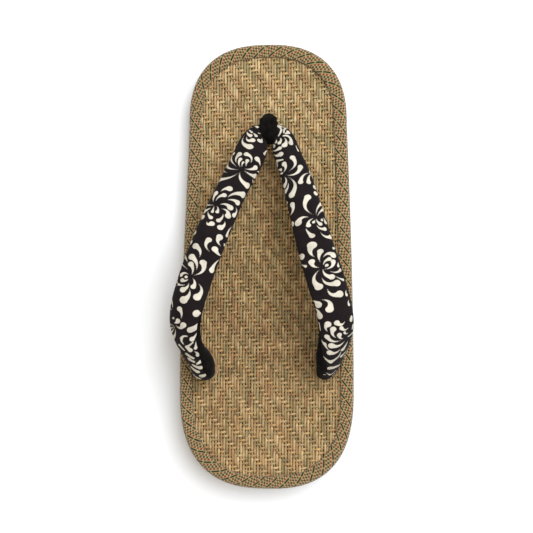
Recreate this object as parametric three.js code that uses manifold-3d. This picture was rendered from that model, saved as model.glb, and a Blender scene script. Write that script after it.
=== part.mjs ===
// A zori sandal: a woven rush mat bound with cloth tape on a foam sole with a rubber outsole,
// with a padded cloth strap held at the front by a velour loop.
// Millimetres. Origin on the floor below the middle of the sandal, +Z up, toe toward -Y.
import * as THREE from "three";
import { mergeVertices } from "three/addons/utils/BufferGeometryUtils.js";
import Module from "manifold-3d";

const wasm = await Module();
wasm.setup();

const { clamp, degToRad, lerp, smoothstep } = THREE.MathUtils;

// Outline, seen from above. "Along" is always the distance from the toe tip.
const LENGTH = 260;
const TOE_HALF_WIDTH = 46.8;
const HEEL_HALF_WIDTH = 51;
const TOE_END = 46;
const HEEL_END = 58;
const TOE_ROUNDNESS = 2.5;
const HEEL_ROUNDNESS = 2.6;
const FLARE_POWER = 1.7;
const TIP_ANGLE = degToRad(4);

// Side view: toe spring, arch, heel lift and the wedge from toe to heel.
const TOE_SPRING = 5.5;
const SPRING_START = 60;
const ARCH_RISE = 2;
const ARCH_FRONT = 108;
const ARCH_BACK = 168;
const HEEL_LIFT = 1.5;
const LIFT_START = 240;
const TOE_THICKNESS = 17;
const HEEL_THICKNESS = 28;
const WEDGE_FRONT = 55;
const WEDGE_BACK = 200;

// Layers.
const FIT_GAP = 0.3;
const MAT_THICKNESS = 4.2;
const TAPE = 1;
const TAPE_LIP = 7.6;
const OUTSOLE_THICKNESS = 3.2;
const OUTSOLE_INSET = 2.6;
const MIDSOLE_INSET = 1;
const GROOVE_WIDTH = 2.6;
const GROOVE_DEPTH = 1.2;
const GROOVE_PITCH = 8;

// Holes for the strap ends and the toe post. The ends themselves are "across" by "length" in
// section, and the holes are a little larger.
const HOLE_GAP = 0.8;
const HOLE_DEPTH = 12;
const HOLE_SIDES = 24;
const END_DEPTH = 11;
const REAR_HOLE = { along: 187.5, side: 33.6, across: 7.6, length: 13 };
const FRONT_HOLE = { along: 42.5, side: -0.8, across: 7.4, length: 5.2 };

// The front join hangs a little to one side of the centre line, and the lean fades out backward.
const JOIN_LEAN = -3;
const LEAN_END = 115;
// The printed face turns outward and a little backward on its way to the rear holes.
const FACE_BACK = degToRad(15);
// Share of the padding that lies on the printed side.
const CROWN = 0.58;

// One half of the strap from the join to the rear hole. up: above the mat; tilt: of the printed
// face, from straight up toward straight out, in degrees.
const STRAP_ROWS = [
  { along: 51.6, side: 0, up: 14.3, width: 9.8, thick: 8.4, tilt: 0 },
  { along: 52.4, side: 5, up: 14.8, width: 10.4, thick: 8.4, tilt: 0 },
  { along: 56.6, side: 8.8, up: 16.2, width: 14, thick: 8.2, tilt: 2 },
  { along: 62.5, side: 11, up: 18.4, width: 15.8, thick: 8, tilt: 3 },
  { along: 71, side: 13.6, up: 21.8, width: 16.2, thick: 8, tilt: 4 },
  { along: 84, side: 18.4, up: 26.4, width: 17, thick: 8, tilt: 6 },
  { along: 100, side: 24.2, up: 31.2, width: 17.8, thick: 8, tilt: 8 },
  { along: 118, side: 30.4, up: 35.4, width: 18.2, thick: 8, tilt: 10 },
  { along: 135, side: 36, up: 38, width: 18.6, thick: 8, tilt: 13 },
  { along: 150, side: 40.2, up: 38.2, width: 18.8, thick: 8.6, tilt: 18 },
  { along: 161.5, side: 41.7, up: 35.2, width: 19, thick: 9.6, tilt: 27 },
  { along: 171.5, side: 40.3, up: 28.4, width: 18.8, thick: 11, tilt: 42 },
  { along: 179.4, side: 38, up: 19.4, width: 17.8, thick: 11.6, tilt: 60 },
  { along: 184.6, side: 35.8, up: 10.8, width: 16.6, thick: 11.6, tilt: 76 },
  { along: 187, side: 34.4, up: 4.8, width: 15.4, thick: 11, tilt: 88 },
  rearEndRow({ up: 0.9, tilt: 90 }),
  rearEndRow({ up: -4, tilt: 90 }),
  rearEndRow({ up: -END_DEPTH, tilt: 90 }),
];
function rearEndRow({ up, tilt }) {
  const { along, side, across, length } = REAR_HOLE;
  return { along, side, up, width: length, thick: across, tilt };
}
const STRAP_STEPS = 3;
const STRAP_SIDES = 14;

// The velour loop round the join, and the post below it. The loop is an upright oval ring whose
// axis runs across the sandal, turned a little with the lean.
const LOOP = {
  along: 51.4,
  up: 14.3,
  halfLength: 4.9,
  halfHeight: 4.4,
  wall: 2.1,
  frontWidth: 8,
  topWidth: 9.8,
};
const LOOP_TURN = degToRad(7);
const LOOP_STEPS = 28;
const POST_ROWS = [
  frontEndRow(-END_DEPTH),
  frontEndRow(-4),
  frontEndRow(2),
  { along: 43.6, side: -1.4, up: 6, width: 7.8, thick: 5.4 },
  { along: 46.8, side: -2.3, up: 10.4, width: 8.2, thick: 5 },
];
function frontEndRow(up) {
  const { along, side, across, length } = FRONT_HOLE;
  return { along, side, up, width: across, thick: length };
}
const POST_STEPS = 2;
const POST_SIDES = 14;

const TOE_STATIONS = 11;
const SIDE_STATIONS = 25;
const HEEL_STATIONS = 11;

// ---- Sole form -------------------------------------------------------------------------------

function sideHalfWidth(along) {
  const run = clamp((along - TOE_END) / (LENGTH - TOE_END - HEEL_END), 0, 1);
  return lerp(TOE_HALF_WIDTH, HEEL_HALF_WIDTH, 1 - (1 - run) ** FLARE_POWER);
}

function soleBottom(along) {
  const spring = TOE_SPRING * clamp(1 - along / SPRING_START, 0, 1) ** 2;
  const archRun = clamp((along - ARCH_FRONT) / (ARCH_BACK - ARCH_FRONT), 0, 1);
  const arch = ARCH_RISE * Math.sin(Math.PI * archRun) ** 2;
  const lift = HEEL_LIFT * clamp((along - LIFT_START) / (LENGTH - LIFT_START), 0, 1) ** 2;
  return spring + arch + lift;
}

function soleTop(along) {
  const spring = TOE_SPRING * clamp(1 - along / SPRING_START, 0, 1) ** 2;
  const wedge = smoothstep(along, WEDGE_FRONT, WEDGE_BACK);
  return spring + lerp(TOE_THICKNESS, HEEL_THICKNESS, wedge);
}

// Stations down one side, from the toe tip round to the heel tip. Each gives the outline's point
// at any inset from the edge.
function outlineStations() {
  const quarter = Math.PI / 2;
  const stations = [];
  for (let i = 0; i < TOE_STATIONS; i++) {
    const angle = lerp(TIP_ANGLE, quarter, i / TOE_STATIONS);
    stations.push((inset) => ({
      along: TOE_END - (TOE_END - inset) * Math.cos(angle) ** (2 / TOE_ROUNDNESS),
      side: (TOE_HALF_WIDTH - inset) * Math.sin(angle) ** (2 / TOE_ROUNDNESS),
    }));
  }
  for (let i = 0; i < SIDE_STATIONS; i++) {
    const along = lerp(TOE_END, LENGTH - HEEL_END, i / (SIDE_STATIONS - 1));
    stations.push((inset) => ({ along, side: sideHalfWidth(along) - inset }));
  }
  for (let i = 1; i <= HEEL_STATIONS; i++) {
    const angle = lerp(quarter, TIP_ANGLE, i / HEEL_STATIONS);
    const end = LENGTH - HEEL_END;
    stations.push((inset) => ({
      along: end + (HEEL_END - inset) * Math.cos(angle) ** (2 / HEEL_ROUNDNESS),
      side: (HEEL_HALF_WIDTH - inset) * Math.sin(angle) ** (2 / HEEL_ROUNDNESS),
    }));
  }
  return stations;
}

// ---- Solids ----------------------------------------------------------------------------------

// Places a point given by its distance from the toe, its side and its height above the floor.
function place(along, side, height) {
  return new THREE.Vector3(side, along - LENGTH / 2, height);
}

// A closed surface through rings of points. An open run is capped by strips between the
// points k and count - 1 - k of its first and last rings.
function loft(rings, isLoop = false) {
  const count = rings[0].length;
  const spans = isLoop ? rings.length : rings.length - 1;
  const index = [];
  const quad = (a, b, c, d) => index.push(a, b, c, a, c, d);
  for (let i = 0; i < spans; i++) {
    const here = i * count;
    const next = ((i + 1) % rings.length) * count;
    for (let k = 0; k < count; k++) {
      const turn = (k + 1) % count;
      quad(here + k, here + turn, next + turn, next + k);
    }
  }
  if (!isLoop) {
    const last = (rings.length - 1) * count;
    for (let k = 0; k < count / 2 - 1; k++) {
      const mirror = count - 1 - k;
      quad(k, mirror, mirror - 1, k + 1);
      quad(last + k, last + k + 1, last + mirror - 1, last + mirror);
    }
  }
  const positions = rings.flat().flatMap((point) => point.toArray());
  const geometry = new THREE.BufferGeometry();
  geometry.setAttribute("position", new THREE.Float32BufferAttribute(positions, 3));
  geometry.setIndex(signedVolume(rings.flat(), index) < 0 ? index.reverse() : index);
  return geometry;
}

function signedVolume(points, index) {
  let six = 0;
  for (let i = 0; i < index.length; i += 3) {
    const [a, b, c] = [points[index[i]], points[index[i + 1]], points[index[i + 2]]];
    six += a.dot(b.clone().cross(c));
  }
  return six / 6;
}

function solidOf(geometry) {
  const bare = geometry.clone();
  bare.deleteAttribute("normal");
  bare.deleteAttribute("uv");
  const merged = mergeVertices(bare, 1e-4);
  return new wasm.Manifold(
    new wasm.Mesh({
      numProp: 3,
      vertProperties: merged.attributes.position.array,
      triVerts: new Uint32Array(merged.index.array),
    }),
  );
}

function geometryOf(solid) {
  const mesh = solid.getMesh();
  const geometry = new THREE.BufferGeometry();
  geometry.setAttribute("position", new THREE.BufferAttribute(mesh.vertProperties, 3));
  geometry.setIndex(new THREE.BufferAttribute(mesh.triVerts, 1));
  return geometry;
}

// A layer that fills the outline. Its edge is a list of rows from the bottom face to the top
// face, each with an inset and a height as a function of the distance along.
function layer(edgeRows) {
  const rings = outlineStations().map((station) => {
    const points = edgeRows.map(({ inset, height }) => {
      const { along, side } = station(inset);
      return place(along, side, height(along));
    });
    const mirrored = points.map((p) => new THREE.Vector3(-p.x, p.y, p.z)).reverse();
    return [...points, ...mirrored];
  });
  return loft(rings);
}

// A band that runs round the whole outline, from a closed section of insets and rises above
// the mat's face.
function edgeBand(section) {
  const half = outlineStations().map((station) =>
    section.map(({ inset, rise }) => {
      const { along, side } = station(inset);
      return place(along, side, soleTop(along) + rise);
    }),
  );
  const other = half.map((ring) => ring.map((p) => new THREE.Vector3(-p.x, p.y, p.z))).reverse();
  return loft([...half, ...other], true);
}

// An upright oval plug that cuts a hole through the mat and the midsole.
function holeCutter({ along, side, across, length }, turn) {
  const top = soleTop(along);
  const plug = new THREE.CylinderGeometry(1, 1, 2 * HOLE_DEPTH, HOLE_SIDES);
  plug.rotateX(Math.PI / 2);
  plug.scale(across / 2 + HOLE_GAP, length / 2 + HOLE_GAP, 1);
  plug.rotateZ(turn);
  plug.translate(side, along - LENGTH / 2, top);
  return solidOf(plug);
}

function cutHoles(solid) {
  const holes = [
    holeCutter(REAR_HOLE, FACE_BACK),
    holeCutter({ ...REAR_HOLE, side: -REAR_HOLE.side }, -FACE_BACK),
    holeCutter(FRONT_HOLE, 0),
  ];
  return holes.reduce((body, hole) => body.subtract(hole), solid);
}

// ---- Sub-parts -------------------------------------------------------------------------------

function outsole() {
  const top = (along) => soleBottom(along) + OUTSOLE_THICKNESS;
  const slab = solidOf(
    layer([
      { inset: OUTSOLE_INSET + 0.6, height: soleBottom },
      { inset: OUTSOLE_INSET, height: (along) => soleBottom(along) + 0.7 },
      { inset: OUTSOLE_INSET, height: top },
    ]),
  );
  return geometryOf(slab.subtract(treadGrooves()));
}

// Shallow grooves straight across the outsole.
function treadGrooves() {
  const count = Math.floor(LENGTH / GROOVE_PITCH);
  let grooves = null;
  for (let i = 0; i < count; i++) {
    const along = (i + 0.5) * GROOVE_PITCH;
    const groove = new THREE.BoxGeometry(3 * HEEL_HALF_WIDTH, GROOVE_WIDTH, 2 * GROOVE_DEPTH);
    groove.translate(0, along - LENGTH / 2, soleBottom(along));
    grooves = grooves ? grooves.add(solidOf(groove)) : solidOf(groove);
  }
  return grooves;
}

// The foam wedge, drawn in a little toward the floor, with a step round its top for the tape.
function midsole() {
  const bottom = (along) => soleBottom(along) + OUTSOLE_THICKNESS + FIT_GAP;
  const rebate = (along) => soleTop(along) - MAT_THICKNESS - 2 * FIT_GAP - TAPE;
  const bed = (along) => soleTop(along) - MAT_THICKNESS - FIT_GAP;
  const between = (share) => (along) => lerp(bottom(along), rebate(along), share);
  const body = layer([
    { inset: OUTSOLE_INSET - 0.4, height: bottom },
    { inset: OUTSOLE_INSET - 1, height: between(0.12) },
    { inset: MIDSOLE_INSET + 0.3, height: between(0.55) },
    { inset: MIDSOLE_INSET, height: between(0.9) },
    { inset: MIDSOLE_INSET + 0.5, height: rebate },
    { inset: TAPE_LIP + FIT_GAP, height: rebate },
    { inset: TAPE_LIP + FIT_GAP, height: bed },
  ]);
  return geometryOf(cutHoles(solidOf(body)));
}

// The woven mat, one close wall.
function mat() {
  const inset = TAPE + 2 * FIT_GAP;
  const body = layer([
    { inset: inset + 0.4, height: (along) => soleTop(along) - MAT_THICKNESS },
    { inset, height: (along) => soleTop(along) - MAT_THICKNESS + 0.5 },
    { inset, height: (along) => soleTop(along) - 0.5 },
    { inset: inset + 0.4, height: soleTop },
  ]);
  return geometryOf(cutHoles(solidOf(body)));
}

// Cloth tape folded round the mat's edge: a lip on top, a rounded wall and a lip underneath.
function binding() {
  const over = FIT_GAP + TAPE;
  const under = -MAT_THICKNESS - FIT_GAP - TAPE;
  return edgeBand([
    { inset: TAPE_LIP, rise: FIT_GAP },
    { inset: TAPE_LIP, rise: over - 0.3 },
    { inset: TAPE_LIP - 0.8, rise: over },
    { inset: 2.2, rise: over },
    { inset: 0.8, rise: over - 0.6 },
    { inset: 0, rise: over - 2.2 },
    { inset: 0, rise: under + 2.2 },
    { inset: 0.8, rise: under + 0.6 },
    { inset: 2.2, rise: under },
    { inset: TAPE_LIP, rise: under },
    { inset: TAPE_LIP, rise: under + TAPE },
    { inset: 2.2, rise: under + TAPE },
    { inset: TAPE + FIT_GAP, rise: under + TAPE + 0.6 },
    { inset: TAPE + FIT_GAP, rise: FIT_GAP - 0.6 },
    { inset: 2.2, rise: FIT_GAP },
  ]);
}

function joinLean(along) {
  return JOIN_LEAN * clamp((LEAN_END - along) / (LEAN_END - LOOP.along), 0, 1);
}

// The padded strap, from one rear hole over the join to the other, as one solid.
function strapForm() {
  const halves = [
    ...STRAP_ROWS.slice(1).reverse().map((row) => ({ ...row, hand: -1 })),
    ...STRAP_ROWS.map((row) => ({ ...row, hand: 1 })),
  ];
  const path = new THREE.CatmullRomCurve3(
    halves.map(({ along, side, up, hand }) =>
      place(along, hand * side + joinLean(along), soleTop(along) + up),
    ),
    false,
    "centripetal",
  );
  const sizes = new THREE.CatmullRomCurve3(
    halves.map(({ width, thick, tilt, hand }) => new THREE.Vector3(width, thick, hand * tilt)),
  );
  const steps = (halves.length - 1) * STRAP_STEPS;
  const rings = [];
  for (let i = 0; i <= steps; i++) {
    const size = sizes.getPoint(i / steps);
    const centre = path.getPoint(i / steps);
    rings.push(strapSection(centre, path.getTangent(i / steps), size));
  }
  return solidOf(loft(rings));
}

// One section of the strap: an oval, fuller on its printed side.
function strapSection(centre, tangent, { x: width, y: thick, z: tilt }) {
  const lean = degToRad(tilt);
  const face = new THREE.Vector3(
    Math.sin(lean) * Math.cos(FACE_BACK),
    Math.abs(Math.sin(lean)) * Math.sin(FACE_BACK),
    Math.cos(lean),
  );
  const across = tangent.clone().cross(face).normalize();
  const up = across.clone().cross(tangent).normalize();
  const ring = [];
  for (let k = 0; k < STRAP_SIDES; k++) {
    const angle = ((k + 0.5) / STRAP_SIDES) * 2 * Math.PI;
    const reach = (Math.sin(angle) * width) / 2;
    const rise = Math.cos(angle) * thick * (Math.cos(angle) > 0 ? CROWN : 1 - CROWN);
    ring.push(centre.clone().addScaledVector(across, reach).addScaledVector(up, rise));
  }
  return ring;
}

function strap() {
  return geometryOf(strapForm().subtract(loopRing(FIT_GAP)));
}

// The loop's ring, grown on all sides by a clearance.
function loopRing(clearance) {
  const rings = [];
  for (let i = 0; i < LOOP_STEPS; i++) {
    const angle = (i / LOOP_STEPS) * 2 * Math.PI;
    const out = { along: -Math.cos(angle), up: Math.sin(angle) };
    const low = clamp(-out.up, 0, 1);
    const width = lerp(LOOP.topWidth, LOOP.frontWidth, low) / 2 + clearance;
    const wall = LOOP.wall / 2 + clearance;
    const reachAlong = LOOP.halfLength + LOOP.wall / 2;
    const reachUp = LOOP.halfHeight + LOOP.wall / 2;
    const corners = [
      { side: -width, off: -0.5 * wall },
      { side: -width, off: 0.4 * wall },
      { side: -0.75 * width, off: wall },
      { side: 0.75 * width, off: wall },
      { side: width, off: 0.4 * wall },
      { side: width, off: -0.5 * wall },
      { side: 0.85 * width, off: -wall },
      { side: -0.85 * width, off: -wall },
    ];
    rings.push(
      corners.map(
        ({ side, off }) =>
          new THREE.Vector3(side, out.along * (reachAlong + off), out.up * (reachUp + off)),
      ),
    );
  }
  const ring = loft(rings, true);
  ring.rotateZ(LOOP_TURN);
  const centre = place(LOOP.along, JOIN_LEAN, soleTop(LOOP.along) + LOOP.up);
  ring.translate(centre.x, centre.y, centre.z);
  return solidOf(ring);
}

// The space inside the loop, kept free for the strap.
function loopOpening() {
  const plug = new THREE.CylinderGeometry(1, 1, 3 * LOOP.topWidth, LOOP_STEPS);
  plug.rotateZ(Math.PI / 2);
  plug.scale(1, LOOP.halfLength, LOOP.halfHeight);
  plug.rotateZ(LOOP_TURN);
  const centre = place(LOOP.along, JOIN_LEAN, soleTop(LOOP.along) + LOOP.up);
  plug.translate(centre.x, centre.y, centre.z);
  return solidOf(plug);
}

function postForm() {
  const path = new THREE.CatmullRomCurve3(
    POST_ROWS.map(({ along, side, up }) => place(along, side, soleTop(along) + up)),
  );
  const sizes = new THREE.CatmullRomCurve3(
    POST_ROWS.map(({ width, thick }) => new THREE.Vector3(width, thick, 0)),
  );
  const steps = (POST_ROWS.length - 1) * POST_STEPS;
  const rings = [];
  for (let i = 0; i <= steps; i++) {
    const { x: width, y: thick } = sizes.getPoint(i / steps);
    const centre = path.getPoint(i / steps);
    const ring = [];
    for (let k = 0; k < POST_SIDES; k++) {
      const angle = ((k + 0.5) / POST_SIDES) * 2 * Math.PI;
      const offset = new THREE.Vector3(
        (Math.sin(angle) * width) / 2,
        (Math.cos(angle) * thick) / 2,
        0,
      );
      ring.push(centre.clone().add(offset));
    }
    rings.push(ring);
  }
  return solidOf(loft(rings));
}

function toePost() {
  return geometryOf(loopRing(0).add(postForm().subtract(loopOpening())));
}

// ---- Assembly --------------------------------------------------------------------------------

const PIECES = [
  { name: "outsole", make: outsole, color: 0x3a3633, roughness: 0.85 },
  { name: "midsole", make: midsole, color: 0x2b2826, roughness: 0.9 },
  { name: "mat", make: mat, color: 0xa58c5c, roughness: 0.7 },
  { name: "binding", make: binding, color: 0x6d7048, roughness: 0.9 },
  { name: "strap", make: strap, color: 0x262122, roughness: 0.85 },
  { name: "toe_post", make: toePost, color: 0x151413, roughness: 1 },
];

const sandal = new THREE.Group();
for (const { name, make, color, roughness } of PIECES) {
  const material = new THREE.MeshStandardMaterial({ color, roughness, metalness: 0 });
  const mesh = new THREE.Mesh(make(), material);
  mesh.name = name;
  sandal.add(mesh);
}

export default sandal;
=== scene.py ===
"""A zori sandal: a woven rush mat bound with striped cloth tape, on a foam wedge with a rubber
outsole, and a padded printed strap held at the front by a velour loop.

Sizes in the tables are millimetres. "Along" is the distance from the toe tip, "side" is the
distance from the middle line, +X to the wearer's left, and the toe points to -Y."""

import math

import bpy
import numpy as np
from bpy.props import FloatProperty, FloatVectorProperty, IntProperty, PointerProperty
from mathutils import Matrix, Vector


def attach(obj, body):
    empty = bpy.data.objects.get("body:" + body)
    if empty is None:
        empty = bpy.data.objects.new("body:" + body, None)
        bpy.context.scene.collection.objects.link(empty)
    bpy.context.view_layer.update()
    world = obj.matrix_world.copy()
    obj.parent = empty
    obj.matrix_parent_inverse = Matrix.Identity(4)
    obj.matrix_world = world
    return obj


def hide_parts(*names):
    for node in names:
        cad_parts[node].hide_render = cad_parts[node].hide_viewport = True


bl_info = {
    "name": "Zori sandal",
    "version": (1, 0, 0),
    "blender": (4, 5, 0),
    "location": "View3D > Sidebar > Zori",
    "description": "Builds a woven zori sandal with a printed strap round its packed frame",
    "category": "Object",
}

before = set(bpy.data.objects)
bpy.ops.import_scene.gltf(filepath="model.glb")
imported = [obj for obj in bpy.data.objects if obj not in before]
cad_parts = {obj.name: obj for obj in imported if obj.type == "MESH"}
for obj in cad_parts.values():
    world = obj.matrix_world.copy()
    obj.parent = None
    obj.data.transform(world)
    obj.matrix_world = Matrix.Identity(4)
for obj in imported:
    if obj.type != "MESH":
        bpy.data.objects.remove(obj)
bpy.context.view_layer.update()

MM = 0.001
BODY = "root"

# ---- Form of the sandal ------------------------------------------------------------------------

# Outline, seen from above.
LENGTH = 260
TOE_HALF_WIDTH = 46.8
HEEL_HALF_WIDTH = 51
TOE_END = 46
HEEL_END = 58
TOE_ROUNDNESS = 2.5
HEEL_ROUNDNESS = 2.6
FLARE_POWER = 1.7

# Side view: toe spring, arch, heel lift and the wedge from toe to heel.
TOE_SPRING = 5.5
SPRING_START = 60
ARCH_RISE = 2
ARCH_FRONT = 108
ARCH_BACK = 168
HEEL_LIFT = 1.5
LIFT_START = 240
TOE_THICKNESS = 17
HEEL_THICKNESS = 28
WEDGE_FRONT = 55
WEDGE_BACK = 200

# Layers.
FIT_GAP = 0.3
MAT_THICKNESS = 4.2
TAPE = 1
TAPE_LIP = 7.6
OUTSOLE_THICKNESS = 3.2
OUTSOLE_INSET = 2.6
GROOVE_WIDTH = 2.6
GROOVE_DEPTH = 1.2
GROOVE_PITCH = 8

# Holes that the strap's ends and the post go down: along, side, half sizes across and along.
REAR_HOLE_TURN = 15
HOLES = (
    {"along": 187.5, "side": 33.6, "half": (3.9, 6.6), "turn": REAR_HOLE_TURN},
    {"along": 187.5, "side": -33.6, "half": (3.9, 6.6), "turn": -REAR_HOLE_TURN},
    {"along": 42.5, "side": -0.8, "half": (3.8, 2.7), "turn": 0},
)

# One half of the strap from the join to the rear hole: along, side, up above the mat, width,
# thickness, and the tilt of the printed face from straight up toward straight out, in degrees.
STRAP_ROWS = (
    (51.6, 0, 14.3, 9.8, 8.4, 0),
    (52.4, 5, 14.8, 10.4, 8.4, 0),
    (56.6, 8.8, 16.2, 14, 8.2, 2),
    (62.5, 11, 18.4, 15.8, 8, 3),
    (71, 13.6, 21.8, 16.2, 8, 4),
    (84, 18.4, 26.4, 17, 8, 6),
    (100, 24.2, 31.2, 17.8, 8, 8),
    (118, 30.4, 35.4, 18.2, 8, 10),
    (135, 36, 38, 18.6, 8, 13),
    (150, 40.2, 38.2, 18.8, 8.6, 18),
    (161.5, 41.7, 35.2, 19, 9.6, 27),
    (171.5, 40.3, 28.4, 18.8, 11, 42),
    (179.4, 38, 19.4, 17.8, 11.6, 60),
    (184.6, 35.8, 10.8, 16.6, 11.6, 76),
    (187, 34.4, 4.8, 15.4, 11, 88),
    (187.5, 33.6, 0.9, 13, 7.6, 90),
    (187.5, 33.6, -4, 13, 7.6, 90),
    (187.5, 33.6, -11, 13, 7.6, 90),
)
JOIN_ALONG = 51.4
JOIN_LEAN = -3
LEAN_END = 115
FACE_BACK = 15
CROWN = 0.58

# The velour loop round the join and the rows of its post: along, side, up, width, thickness.
LOOP = {"side": -2.4, "up": 14.3, "half_length": 5.3, "half_height": 4.6, "wall": 2.4}
LOOP_TOP_WIDTH = 10.3
LOOP_FRONT_WIDTH = 9.4
LOOP_TURN = 7
# How much thicker the soft pile is on the inside of the loop, in front of and below the strap.
LOOP_PILE_FRONT = 1.4
LOOP_PILE_LOW = 1.75
POST_ROWS = (
    (42.5, -0.8, -11, 7.4, 5.2),
    (42.5, -0.8, -4, 7.4, 5.2),
    (42.5, -0.8, 2, 7.4, 5.2),
    (43.6, -1.3, 6, 8.4, 5.6),
    (46.6, -2, 10.4, 9.2, 5.6),
)

# ---- The print, charted on the flat cloth ------------------------------------------------------
# One row is one comma-shaped petal: the middle of its bulb (distance from the join, distance
# across from the band's middle, outward positive), the bulb's radius, the tip of its tail, and
# how far the tail bows to its left. A seventh number is the radius at the tip.

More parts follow.
